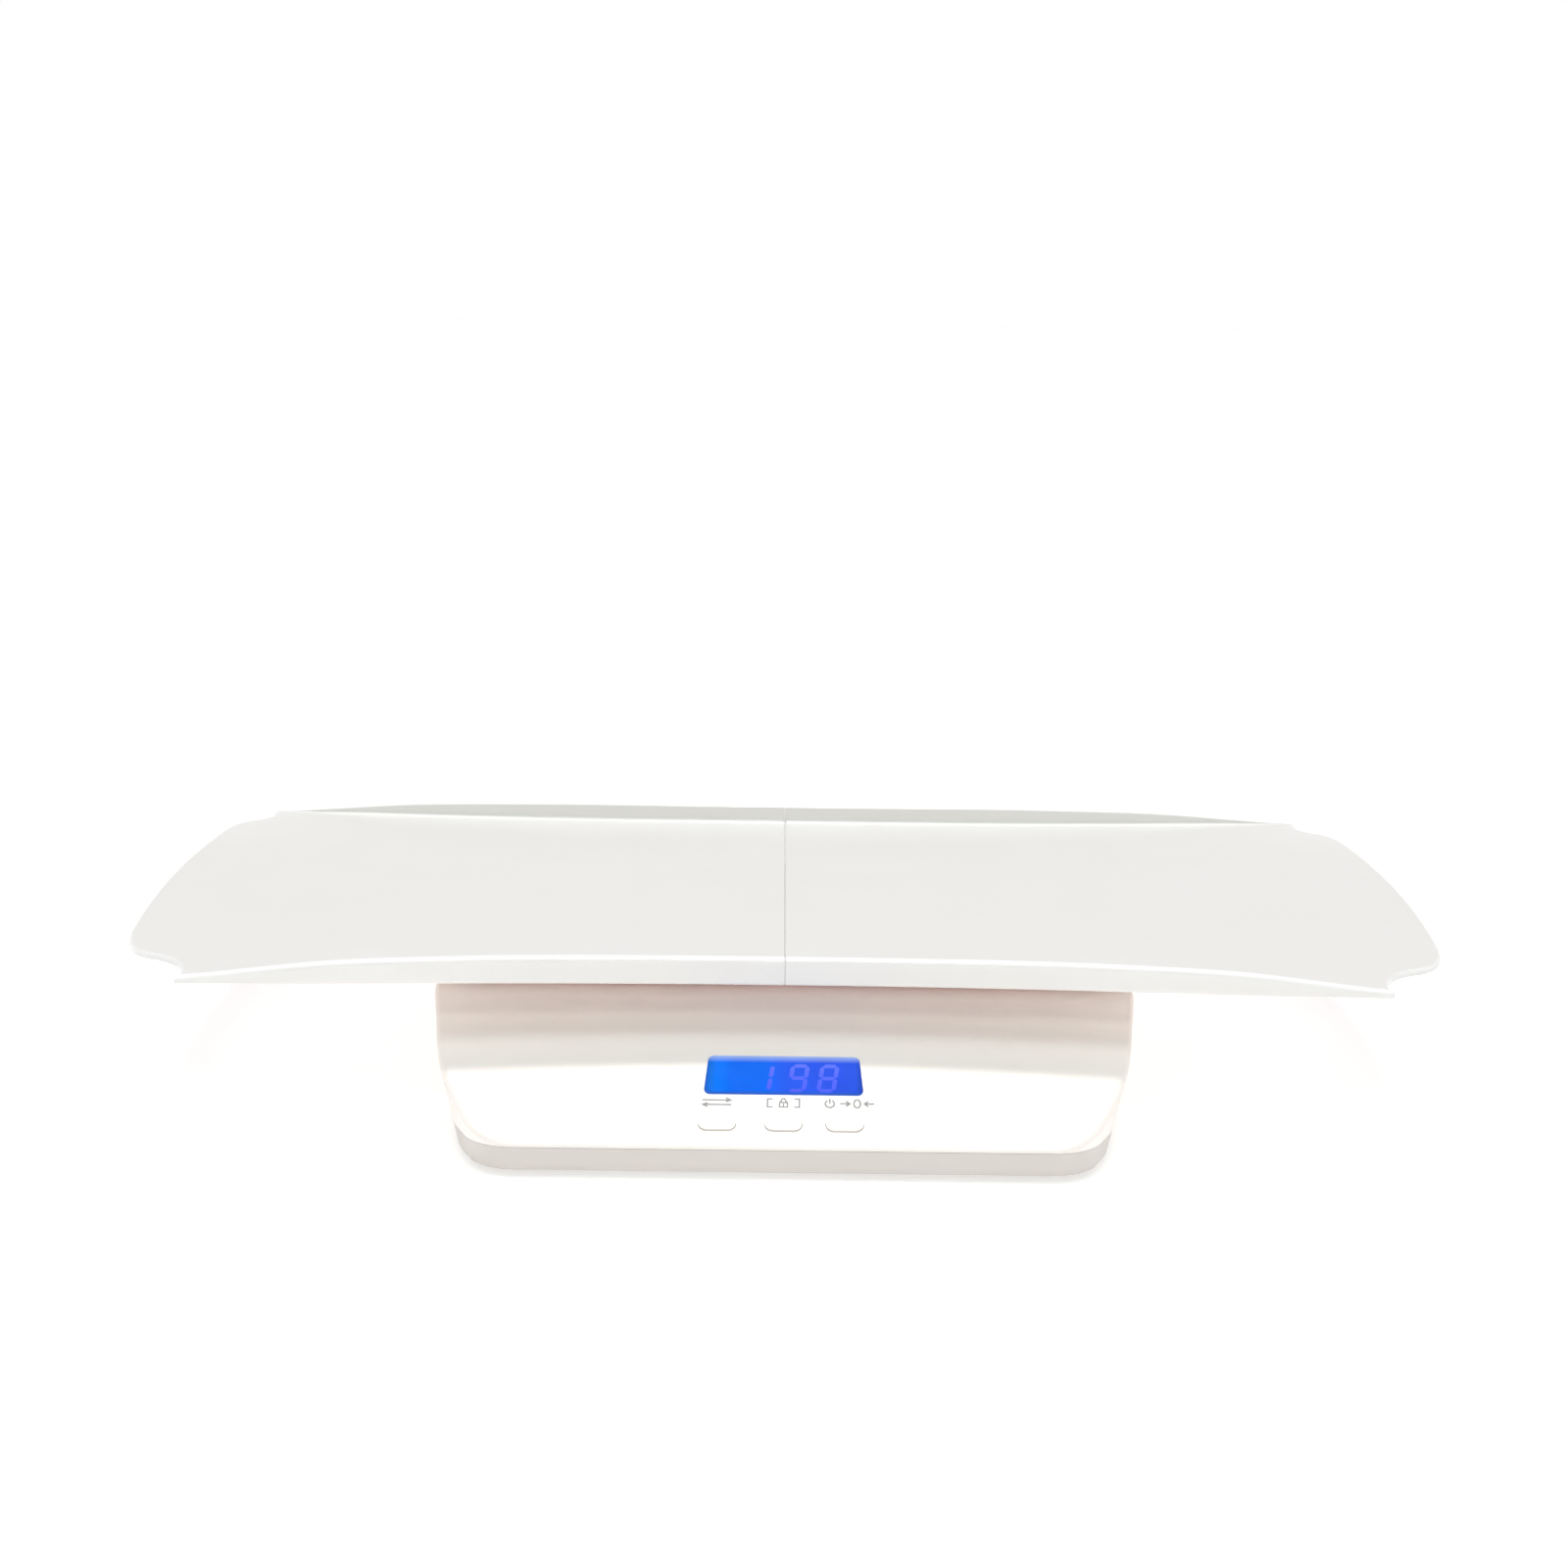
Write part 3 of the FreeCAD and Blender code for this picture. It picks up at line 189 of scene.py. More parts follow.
def rubber(name, colour, centres=(), pitch=0.0016, rough=0.72):
    """Matt rubber with fine pores; the centres argument is not used, so round pads get no moulded rings."""
    m, nt, b = new_material(name)
    L = nt.links
    tc = nt.nodes.new("ShaderNodeTexCoord")
    pores = nt.nodes.new("ShaderNodeTexVoronoi")
    pores.inputs["Scale"].default_value = 2200.0
    L.new(tc.outputs["Object"], pores.inputs["Vector"])
    dust = nt.nodes.new("ShaderNodeTexNoise")
    dust.inputs["Scale"].default_value = 120.0
    dust.inputs["Detail"].default_value = 5.0
    L.new(tc.outputs["Object"], dust.inputs["Vector"])
    ramp = nt.nodes.new("ShaderNodeValToRGB")
    ramp.color_ramp.elements[0].position = 0.35
    ramp.color_ramp.elements[1].position = 0.8
    ramp.color_ramp.elements[0].color = (*colour, 1)
    ramp.color_ramp.elements[1].color = (*[min(1, c * 1.35 + 0.01) for c in colour], 1)
    L.new(dust.outputs["Fac"], ramp.inputs["Fac"])
    L.new(ramp.outputs["Color"], b.inputs["Base Color"])
    bp = nt.nodes.new("ShaderNodeBump")
    bp.inputs["Strength"].default_value = 0.25
    bp.inputs["Distance"].default_value = 0.0001
    L.new(pores.outputs["Distance"], bp.inputs["Height"])
    L.new(bp.outputs["Normal"], b.inputs["Normal"])
    b.inputs["Roughness"].default_value = rough
    b.inputs["Specular IOR Level"].default_value = 0.35
    return m


M = {}
M["shell"] = plastic("white_abs_shell", (0.935, 0.882, 0.838), rough=0.42, vary=0.006, grain=0.0011, bump=0.08, tint=(1.0, 0.998, 0.992))
# painted shade: the lower shell and battery door get a greyer colour, standing in for the shade on the base's
# down-facing front band
M["lower"] = plastic("lower_shell_painted_shade", (0.625, 0.583, 0.548), rough=0.46, vary=0.01, grain=0.0011, bump=0.12)
# the tray's rounded rims take a paler edge colour: a painted highlight
M["tray"] = plastic("warm_white_abs_tray", (0.860, 0.847, 0.824), rough=0.34, coat=0.3, coat_rough=0.14, edge=(0.95, 0.945, 0.935), vary=0.006, grain=0.0014, bump=0.05, wave=0.00012, wave_scale=7.0, tint=(1.0, 0.997, 0.988))
# painted light: the tray's underside has a warmer colour than its top and a faint warm glow, lifting and tinting the
# shade under the tray
M["under"] = plastic("tray_underside_painted_glow", (0.885, 0.81, 0.775), rough=0.5, vary=0.006, grain=0.0014, bump=0.1, glow=((1.0, 0.62, 0.60), 0.030))


def painted_crest_light(mat, middle, full, gone, half, extra):
    """Painted light: the underside glows more in a strip right above the base's front edge, lifting the shade there."""
    nt = mat.node_tree
    L = nt.links
    b = next(n for n in nt.nodes if n.type == "BSDF_PRINCIPLED")
    tc = nt.nodes.new("ShaderNodeTexCoord")
    xyz = nt.nodes.new("ShaderNodeSeparateXYZ")
    L.new(tc.outputs["Object"], xyz.inputs["Vector"])

    def fade(socket, shift, lo, hi):
        a = nt.nodes.new("ShaderNodeMath")
        a.operation = "ADD"
        a.inputs[1].default_value = shift
        L.new(socket, a.inputs[0])
        d = nt.nodes.new("ShaderNodeMath")
        d.operation = "ABSOLUTE"
        L.new(a.outputs[0], d.inputs[0])
        r = nt.nodes.new("ShaderNodeMapRange")
        r.interpolation_type = "SMOOTHSTEP"
        for key, value in (("From Min", lo), ("From Max", hi), ("To Min", 1.0), ("To Max", 0.0)):
            r.inputs[key].default_value = value
        L.new(d.outputs[0], r.inputs["Value"])
        return r.outputs["Result"]

    both = nt.nodes.new("ShaderNodeMath")
    both.operation = "MULTIPLY"
    L.new(fade(xyz.outputs["Y"], -middle, full, gone), both.inputs[0])
    L.new(fade(xyz.outputs["X"], 0.0, half - 0.04, half), both.inputs[1])
    total = nt.nodes.new("ShaderNodeMath")
    total.operation = "MULTIPLY_ADD"
    total.inputs[1].default_value = extra
    total.inputs[2].default_value = b.inputs["Emission Strength"].default_value
    L.new(both.outputs[0], total.inputs[0])
    L.new(total.outputs[0], b.inputs["Emission Strength"])


# painted light on the tray's underside, above the base's front edge
painted_crest_light(M["under"], -0.098, 0.004, 0.012, 0.150, 0.20)
M["key"] = plastic("white_soft_key", (0.935, 0.882, 0.838), rough=0.5, vary=0.006, grain=0.0009, bump=0.08)
M["dark"] = plastic("black_plastic", (0.03, 0.03, 0.033), rough=0.5, vary=0.15, grain=0.0003, bump=0.2)
M["cap"] = plastic("grey_foot_cap", (0.62, 0.615, 0.605), rough=0.5, vary=0.02, grain=0.0004, bump=0.15)
M["seat"] = plastic("grey_nylon_seat", (0.55, 0.55, 0.54), rough=0.55, vary=0.03, grain=0.0004, bump=0.2)
M["pad"] = rubber("grey_foot_rubber", (0.10, 0.10, 0.105))
M["zebra"] = rubber("pink_conductive_rubber", (0.55, 0.22, 0.24))
M["board"] = plastic("green_solder_mask", (0.02, 0.20, 0.07), rough=0.3, vary=0.2, grain=0.0006, bump=0.1, coat=0.4)
M["chip"] = plastic("epoxy_blob", (0.015, 0.015, 0.017), rough=0.25, vary=0.2, grain=0.0008, bump=0.2)
M["zinc"] = metal("zinc_plated_steel", (0.78, 0.78, 0.80), rough=0.32)
M["spring"] = metal("nickel_spring", (0.80, 0.79, 0.76), rough=0.22, brushed=(14.0, 1.0, 1.0))
M["gauge"] = plastic("gauge_resin", (0.86, 0.86, 0.84), rough=0.6, vary=0.05, grain=0.0003, bump=0.2)
M["lcdglass"] = plastic("lcd_glass_grey", (0.25, 0.30, 0.27), rough=0.08, vary=0.02, grain=0.003, bump=0.01, coat=0.6, coat_rough=0.03)
M["light"] = plastic("milky_light_guide", (0.80, 0.86, 0.95), rough=0.3, vary=0.01, grain=0.0008, bump=0.05)


def cell_sleeve():
    """Battery sleeve: two plain bands of colour round each can, copper-coloured end and bare steel rims."""
    m, nt, b = new_material("plain_cell_sleeve")
    L = nt.links
    tc = nt.nodes.new("ShaderNodeTexCoord")
    sep = nt.nodes.new("ShaderNodeSeparateXYZ")
    L.new(tc.outputs["Object"], sep.inputs["Vector"])
    ramp = nt.nodes.new("ShaderNodeValToRGB")
    ramp.color_ramp.interpolation = "CONSTANT"
    e = ramp.color_ramp.elements
    e[0].position, e[0].color = 0.0, (0.7, 0.7, 0.72, 1)
    e[1].position, e[1].color = 0.04, (0.03, 0.03, 0.035, 1)
    k = e.new(0.66)
    k.color = (0.62, 0.40, 0.20, 1)
    k = e.new(0.965)
    k.color = (0.7, 0.7, 0.72, 1)
    mr = nt.nodes.new("ShaderNodeMapRange")
    mr.inputs["From Min"].default_value = -0.0222
    mr.inputs["From Max"].default_value = 0.0222
    L.new(sep.outputs["X"], mr.inputs["Value"])
    L.new(mr.outputs["Result"], ramp.inputs["Fac"])
    L.new(ramp.outputs["Color"], b.inputs["Base Color"])
    n = nt.nodes.new("ShaderNodeTexNoise")
    n.inputs["Scale"].default_value = 150.0
    L.new(tc.outputs["Object"], n.inputs["Vector"])
    rr = nt.nodes.new("ShaderNodeMapRange")
    rr.inputs["To Min"].default_value = 0.18
    rr.inputs["To Max"].default_value = 0.36
    L.new(n.outputs["Fac"], rr.inputs["Value"])
    L.new(rr.outputs["Result"], b.inputs["Roughness"])
    b.inputs["Metallic"].default_value = 0.6
    return m


def wire_sleeve():
    """Wire sleeves: red on one side, black on the other, slightly scuffed."""
    m, nt, b = new_material("wire_sleeves")
    L = nt.links
    tc = nt.nodes.new("ShaderNodeTexCoord")
    sep = nt.nodes.new("ShaderNodeSeparateXYZ")
    L.new(tc.outputs["Object"], sep.inputs["Vector"])
    ramp = nt.nodes.new("ShaderNodeValToRGB")
    ramp.color_ramp.interpolation = "CONSTANT"
    e = ramp.color_ramp.elements
    e[0].position, e[0].color = 0.0, (0.03, 0.03, 0.03, 1)
    e[1].position, e[1].color = 0.5, (0.55, 0.03, 0.03, 1)
    mr = nt.nodes.new("ShaderNodeMapRange")
    mr.inputs["From Min"].default_value = -0.1
    mr.inputs["From Max"].default_value = 0.1
    L.new(sep.outputs["X"], mr.inputs["Value"])
    L.new(mr.outputs["Result"], ramp.inputs["Fac"])
    L.new(ramp.outputs["Color"], b.inputs["Base Color"])
    n = nt.nodes.new("ShaderNodeTexNoise")
    n.inputs["Scale"].default_value = 400.0
    L.new(tc.outputs["Object"], n.inputs["Vector"])
    rr = nt.nodes.new("ShaderNodeMapRange")
    rr.inputs["To Min"].default_value = 0.35
    rr.inputs["To Max"].default_value = 0.55
    L.new(n.outputs["Fac"], rr.inputs["Value"])
    L.new(rr.outputs["Result"], b.inputs["Roughness"])
    return m


M["cells"] = cell_sleeve()
M["wire"] = wire_sleeve()


def assign(node, mat):
    o = N[node]
    if not o.material_slots:
        o.data.materials.append(None)
    for s in o.material_slots:
        s.material = mat


SAME = {
    "shell": ["top_cover"],
    "lower": ["bottom_shell", "battery_door"],
    "key": ["button_unit", "button_hold", "button_power"],
    "dark": ["lcd_frame", "key_switches"],
    "zebra": ["zebra_strip"],
    "board": ["main_board"],
    "chip": ["board_chip"],
    "zinc": ["board_screws", "case_screws", "platform_stiffener", "rail_screws", "battery_plates"],
    "spring": ["battery_springs"],
    "gauge": ["strain_gauges"],
    "lcdglass": ["lcd_glass"],
    "light": ["backlight_panel"],
    "cells": ["battery_cells"],
    "wire": ["load_cell_wires", "battery_wires"],
    "shell_rail": ["rail_front", "rail_rear"],
    "tray": ["tray_left", "tray_right"],
}
M["shell_rail"] = plastic("white_nylon_rail", (0.86, 0.855, 0.84), rough=0.4, vary=0.01, grain=0.0004, bump=0.12)
for key, names in SAME.items():
    for n in names:
        assign(n, M[key])
for end in ("front_left", "front_right", "rear_left", "rear_right"):
    assign("foot_cap_" + end, M["cap"])
    assign("foot_pad_" + end, M["pad"])
    assign("load_cell_" + end, M["zinc"])
    assign("cell_seat_" + end, M["seat"])


# ------------------------------------------------------------------ mesh helpers
def mesh_object(name, verts, faces, mat, body, scale=MM, smooth=True, merge=1e-7, recalc=True):
    me = bpy.data.meshes.new(name)
    me.from_pydata([tuple(c * scale for c in v) for v in verts], [], faces)
    bm = bmesh.new()
    bm.from_mesh(me)
    if merge:
        bmesh.ops.remove_doubles(bm, verts=bm.verts, dist=merge)
        bmesh.ops.dissolve_degenerate(bm, edges=bm.edges, dist=merge)
    if recalc:
        bmesh.ops.recalc_face_normals(bm, faces=bm.faces)
    bm.to_mesh(me)
    bm.free()
    me.validate()
    for p in me.polygons:
        p.use_smooth = smooth
    o = bpy.data.objects.new(name, me)
    bpy.context.scene.collection.objects.link(o)
    o.data.materials.append(mat)
    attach(o, body)
    return o


def sharp_by_angle(o, degrees=32):
    """Keeps true corners crisp while everything gentler stays smooth."""
    bm = bmesh.new()
    bm.from_mesh(o.data)
    lim = math.radians(degrees)
    for e in bm.edges:
        if len(e.link_faces) == 2 and e.calc_face_angle(0.0) > lim:
            e.smooth = False
    bm.to_mesh(o.data)
    bm.free()


# ------------------------------------------------------------------ tray halves
TY, LOW, THICK, SEAM = 14.0, 70.0, 3.0, 0.03
EDGE_Y, END_X, ROOT_X, ROOT_Y = 147.5, 281.0, 277.6, 95.0
FLAT_X, RISE_END, TIP_Y = 100.0, 3.8, 160.0
LIP_T, LIP_H, LIP_HANG = 2.8, 11.0, 1.2
NEAR = dict(flap=(263.0, 127.2), bite=(247.2, 141.0), tip=(246.0, 160.0))
FAR = dict(flap=(268.5, 128.5), bite=(261.3, 139.0), tip=(262.5, 157.0))
PULL_H, PULL_F = 13.5, 9.5
HEIGHTS = [(-6, LIP_H), (60, LIP_H), (115, LIP_H - 0.2), (155, LIP_H - 1.0), (172, LIP_H - 1.5), (190, LIP_H - 2.5), (205, LIP_H - 3.8),
           (218, LIP_H - 5.1), (235, THICK + 1.3), (252, THICK + 0.3)]


def circle3(a, b, c):
    ax, ay = a
    bx, by = b
    cx, cy = c
    d = 2 * (ax * (by - cy) + bx * (cy - ay) + cx * (ay - by))
    ux = ((ax * ax + ay * ay) * (by - cy) + (bx * bx + by * by) * (cy - ay) + (cx * cx + cy * cy) * (ay - by)) / d
    uy = ((ax * ax + ay * ay) * (cx - bx) + (bx * bx + by * by) * (ax - cx) + (cx * cx + cy * cy) * (bx - ax)) / d
    return np.array([ux, uy]), math.hypot(ax - ux, ay - uy)


def arc3(a, b, c, n):
    o, r = circle3(a, b, c)
    t0 = math.atan2(a[1] - o[1], a[0] - o[0])
    t1 = math.atan2(b[1] - o[1], b[0] - o[0])
    t2 = math.atan2(c[1] - o[1], c[0] - o[0])
    ccw = ((t1 - t0) % (2 * math.pi)) < ((t2 - t0) % (2 * math.pi))
    sweep = (t2 - t0) % (2 * math.pi) if ccw else -((t0 - t2) % (2 * math.pi))
    t = t0 + sweep * np.linspace(0, 1, n)
    return np.stack([o[0] + r * np.cos(t), o[1] + r * np.sin(t)], 1)


def corner_curve(c, s, n=60):
    """From the lip's tip through the bite and the flap to the end edge; s is -1 at the near side, 1 at the far side."""
    tip, bite, flap = [(p[0], s * p[1]) for p in (c["tip"], c["bite"], c["flap"])]
    a = arc3(tip, bite, flap, n)
    o, _ = circle3(tip, bite, flap)
    away = np.array([(flap[1] - o[1]) * s, -(flap[0] - o[0]) * s])
    away = -away / np.linalg.norm(away) * PULL_F
    rad = (ROOT_Y ** 2 + (END_X - ROOT_X) ** 2) / (2 * (END_X - ROOT_X))
    along = np.array([-ROOT_Y / rad, s])
    along = along / np.linalg.norm(along) * PULL_H
    p0, p3 = np.array(flap), np.array([ROOT_X, s * ROOT_Y])
    p1, p2 = p0 + away, p3 + along
    t = np.linspace(0, 1, n)[:, None]
    b = (1 - t) ** 3 * p0 + 3 * t * (1 - t) ** 2 * p1 + 3 * t * t * (1 - t) * p2 + t ** 3 * p3
    return np.concatenate([a, b[1:]])


near_c, far_c = corner_curve(NEAR, -1), corner_curve(FAR, 1)
end_c = arc3((ROOT_X, -ROOT_Y), (END_X, 0), (ROOT_X, ROOT_Y), 80)
END = np.concatenate([near_c, end_c[1:], far_c[::-1][1:]])      # near tip to far tip along the end
END_S = np.concatenate([[0], np.cumsum(np.hypot(*np.diff(END, axis=0).T))])


def end_at(s):
    return np.stack([np.interp(s, END_S, END[:, 0]), np.interp(s, END_S, END[:, 1])], -1)


def lip_line(s, x):
    """y of the long edge at x; s -1 near, 1 far."""
    tx, tyy = (NEAR if s < 0 else FAR)["tip"]
    # quadratic bezier (SEAM, EDGE_Y), (tx/2, EDGE_Y), (tx, tyy)
    a, b, c = SEAM - 2 * (tx / 2) + tx, 2 * (tx / 2 - SEAM), SEAM - x
    t = np.where(abs(a) < 1e-9, -c / b, (-b + np.sqrt(np.maximum(b * b - 4 * a * c, 0))) / (2 * a))
    return s * (EDGE_Y + (tyy - EDGE_Y) * t * t)


def spline(xs, ys):
    xs, ys = np.array(xs, float), np.array(ys, float)
    n = len(xs)
    h = np.diff(xs)
    A, r = np.eye(n), np.zeros(n)
    for i in range(1, n - 1):
        A[i, i - 1], A[i, i], A[i, i + 1] = h[i - 1], 2 * (h[i - 1] + h[i]), h[i]
        r[i] = 6 * ((ys[i + 1] - ys[i]) / h[i] - (ys[i] - ys[i - 1]) / h[i - 1])
    m = np.linalg.solve(A, r)

    def f(x):
        x = np.clip(x, xs[0], xs[-1])
        i = np.clip(np.searchsorted(xs, x) - 1, 0, n - 2)
        d0, d1, hh = x - xs[i], xs[i + 1] - x, h[i]
        return m[i] * d1 ** 3 / (6 * hh) + m[i + 1] * d0 ** 3 / (6 * hh) + (ys[i] / hh - m[i] * hh / 6) * d1 + (ys[i + 1] / hh - m[i + 1] * hh / 6) * d0
    return f


LIPTOP = {}
for s_, c_ in ((-1, NEAR), (1, FAR)):
    LIPTOP[s_] = spline([x if x < 150 else x + (c_["tip"][0] - NEAR["tip"][0]) * (x - 150) / 102 for x, _ in HEIGHTS], [h for _, h in HEIGHTS])


def floor_z(x, y):
    u = np.maximum(x - FLAT_X, 0) / (END_X - FLAT_X)
    return LOW + THICK + RISE_END * u * u * (1 - (y / (TIP_Y + 4)) ** 2)


def tray_half(name, sign, body):
    r_lip, r_in, r_end, r_seam, r_low, fil = 2.25, 0.5, 1.3, 0.9, 0.5, 2.6
    draft = 0.19
    q = np.radians([0, 18, 36, 54, 72, 90])
    # rows across the near lip: outer rounding, inner rounding, fillet to the floor
    rows = [("o", a, r_lip * (1 - math.cos(a))) for a in q]
    rows += [("i", a, LIP_T - r_in * (1 - math.cos(a))) for a in q[::-1]]
    rows += [("f", a, LIP_T + 0.02 + fil * (1 - math.cos(a))) for a in q]
    rows += [("p", 0, LIP_T + fil + 1.5), ("p", 0, LIP_T + fil + 4.0)]
    nr = len(rows)
    d_in = rows[-1][2]
    # columns: seam rounding, body, end rounding
    xs_seam = [r_seam * (1 - math.cos(a)) for a in q]
    xs_end = [r_end * (1 - math.cos(a)) for a in q]
    mid_n = 84
    inner_n = 46

    # where each lip row meets the end curve: the end point whose y is the lip's tip shifted inward
    def end_param_for(s, d):
        tip = (NEAR if s < 0 else FAR)["tip"]
        want = tip[1] - d
        if s < 0:
            idx = np.arange(0, 200)
            ys = -END[idx, 1]
            k = np.argmax(ys <= want)
            a0, a1 = ys[k - 1], ys[k]
            t = 0 if k == 0 else (a0 - want) / (a0 - a1)
            return END_S[0] if k == 0 else END_S[k - 1] + t * (END_S[k] - END_S[k - 1])
        rev = END[::-1]
        rs = END_S[-1] - END_S[::-1]
        ys = rev[:200, 1]
        k = np.argmax(ys <= want)
        if k == 0:
            return END_S[-1]
        a0, a1 = ys[k - 1], ys[k]
        t = (a0 - want) / (a0 - a1)
        return END_S[-1] - (rs[k - 1] + t * (rs[k] - rs[k - 1]))

    e_near = [end_param_for(-1, r[2]) for r in rows]
    e_far = [end_param_for(1, r[2]) for r in rows]
    # interior rows: evenly along the end between the two innermost lip rows
    e_mid = np.linspace(e_near[-1], e_far[-1], inner_n + 2)[1:-1]
    E = np.concatenate([e_near, e_mid, e_far[::-1]])
    J = len(E)
    B = end_at(E)
    # inward normals of the end curve
    T = end_at(E + 0.4) - end_at(E - 0.4)
    T /= np.linalg.norm(T, axis=1)[:, None]
    NB = np.stack([-T[:, 1], T[:, 0]], 1)
    NB[:nr] = (-1.0, 0.08)
    NB[-nr:] = (-1.0, -0.06)
    for k in range(6):      # ease between the lip rows' direction and the true normal
        w = (k + 1) / 7
        for j, side in ((nr + k, 0), (J - 1 - nr - k, 1)):
            base = np.array((-1.0, 0.08) if side == 0 else (-1.0, -0.06))
            NB[j] = (1 - w) * base + w * NB[j]
            NB[j] /= np.linalg.norm(NB[j])
    yS = np.concatenate([[-EDGE_Y + r[2] for r in rows], np.linspace(-EDGE_Y + d_in, EDGE_Y - d_in, inner_n + 2)[1:-1], [EDGE_Y - r[2] for r in rows[::-1]]])
    K = len(xs_seam) + mid_n + len(xs_end)
    P = np.zeros((K, J, 2))
    # distances along each row
    Bin = B + NB * r_end
    t_mid = np.linspace(0, 1, mid_n + 2)[1:-1]
    t_mid = 0.5 * t_mid + 0.5 * (0.5 - 0.5 * np.cos(math.pi * t_mid))
    x0 = SEAM + r_seam
    cn, cf = nr - 1, J - nr
    for k in range(K):
        if k < len(xs_seam):
            P[k, :, 0] = SEAM + xs_seam[k]
            P[k, :, 1] = yS
            for j in list(range(nr)) + list(range(J - nr, J)):
                s = -1 if j < nr else 1
                d = rows[j][2] if j < nr else rows[J - 1 - j][2]
                P[k, j, 1] = lip_line(s, P[k, j, 0]) - s * d
        elif k >= len(xs_seam) + mid_n:
            o = xs_end[K - 1 - k]
            P[k] = B + NB * o
            for j in list(range(nr)) + list(range(J - nr, J)):
                s = -1 if j < nr else 1
                d = rows[j][2] if j < nr else rows[J - 1 - j][2]
                x = B[j, 0] - o
                P[k, j] = (x, lip_line(s, x) - s * d)
    for m, t in enumerate(t_mid):
        k = len(xs_seam) + m
        # lip rows follow the edge curve
        for j in list(range(nr)) + list(range(J - nr, J)):
            s = -1 if j < nr else 1
            d = rows[j][2] if j < nr else rows[J - 1 - j][2]
            xe = B[j, 0] - r_end
            x = x0 + (xe - x0) * t
            P[k, j] = (x, lip_line(s, x) - s * d)
        c0, c1 = P[k, cn], P[k, cf]
        for j in range(nr, J - nr):
            e = (E[j] - E[cn]) / (E[cf] - E[cn])
            d0 = np.array([x0, yS[j]])
            d1 = Bin[j]
            P00, P01 = np.array([x0, yS[cn]]), np.array([x0, yS[cf]])
            P10, P11 = np.array([B[cn, 0] - r_end, P[K - 1 - (len(xs_end) - 1), cn, 1]]), np.array([B[cf, 0] - r_end, P[K - 1 - (len(xs_end) - 1), cf, 1]])
            P[k, j] = (1 - e) * c0 + e * c1 + (1 - t) * d0 + t * d1 - ((1 - e) * (1 - t) * P00 + e * (1 - t) * P01 + (1 - e) * t * P10 + e * t * P11)
    # heights
    ZT, ZB = np.zeros((K, J)), np.zeros((K, J))
    XY = P.copy()
    for k in range(K):
        for j in range(J):
            x, y = P[k, j]
            zf = float(floor_z(x, y))
            s = 0
            if j < nr:
                s, row = -1, rows[j]
            elif j >= J - nr:
                s, row = 1, rows[J - 1 - j]
            z = zf
            u = v = 0.0
            r_u = r_lip
            if s:
                zt = LOW + max(float(LIPTOP[s](x)), THICK + 0.05)
                h = max(zt - zf, 0.0)
                if row[0] == "o":
                    z = zt
                    u = 1 - row[2] / r_lip
                elif row[0] == "i":
                    z = zt - min(r_in, 0.5 * h) * (1 - math.sin(row[1]))
                elif row[0] == "f":
                    z = zf + min(fil, 0.5 * h) * (1 - math.sin(row[1]))
            kk, r_v = None, 1.0
            if k < len(xs_seam):
                v, r_v = 1 - xs_seam[k] / r_seam, r_seam
            elif k >= K - len(xs_end):
                v, r_v = 1 - xs_end[K - 1 - k] / r_end, r_end
            drop = 0.0
            if u > 0 or v > 0:
                uu, vv = u * math.sqrt(max(1 - v * v / 2, 0)), v * math.sqrt(max(1 - u * u / 2, 0))
                rho2 = min(1.0, uu * uu + vv * vv)
                r_mix = (r_u * uu * uu + r_v * vv * vv) / max(uu * uu + vv * vv, 1e-9)
                drop = r_mix * (1 - math.sqrt(1 - rho2))
                if u > 0 and v > 0:
                    du, dv = r_lip * (u - uu), r_v * (v - vv)
                    if k < len(xs_seam):
                        du, dv = 0.2 * du, 0.2 * dv
                    XY[k, j, 1] -= s * du
                    XY[k, j, 0] += dv if k < len(xs_seam) else -dv
                low = r_low * (1 - math.sqrt(1 - rho2))
            else:
                low = 0.0
            ZT[k, j] = z - drop
            hang = 0.0
            if s:        # the lip reaches a little below the sheet, less towards its tip
                fx = min(max((x - 185.0) / 60.0, 0.0), 1.0)
                hang = LIP_HANG * (1 - 0.8 * fx * fx * (3 - 2 * fx)) * min(max(1 - (row[2] - LIP_T) / fil, 0.0), 1.0)
            ZB[k, j] = (zf - THICK if not s else min(zf - THICK, LOW + 0.15)) + low - hang
    # the lips' walls lean in towards their foot
    lean = np.zeros((K, J, 2))
    for k in range(K):
        for j in range(J):
            if j < nr or j >= J - nr:
                s = -1 if j < nr else 1
                d = rows[j][2] if j < nr else rows[J - 1 - j][2]
                w = max(0.0, 1 - d / LIP_T)
                lean[k, j, 1] -= s * w * draft * (ZT[k, j] - ZB[k, j])
    verts, faces = [], []
    top = lambda k, j: k * J + j
    bot = lambda k, j: K * J + k * J + j
    for k in range(K):
        for j in range(J):
            verts.append((XY[k, j, 0], XY[k, j, 1] + TY, ZT[k, j]))
    for k in range(K):
        for j in range(J):
            verts.append((XY[k, j, 0] + lean[k, j, 0], XY[k, j, 1] + lean[k, j, 1] + TY, ZB[k, j]))
    for k in range(K - 1):
        for j in range(J - 1):
            faces.append((top(k, j), top(k + 1, j), top(k + 1, j + 1), top(k, j + 1)))
            faces.append((bot(k, j), bot(k, j + 1), bot(k + 1, j + 1), bot(k + 1, j)))
    loop = [(k, 0) for k in range(K)] + [(K - 1, j) for j in range(1, J)] + [(k, J - 1) for k in range(K - 2, -1, -1)] + [(0, j) for j in range(J - 2, 0, -1)]
    n = len(loop)
    base = len(verts)
    for k, j in loop:      # two holding rings on the wall
        zt, zb = ZT[k, j], ZB[k, j]
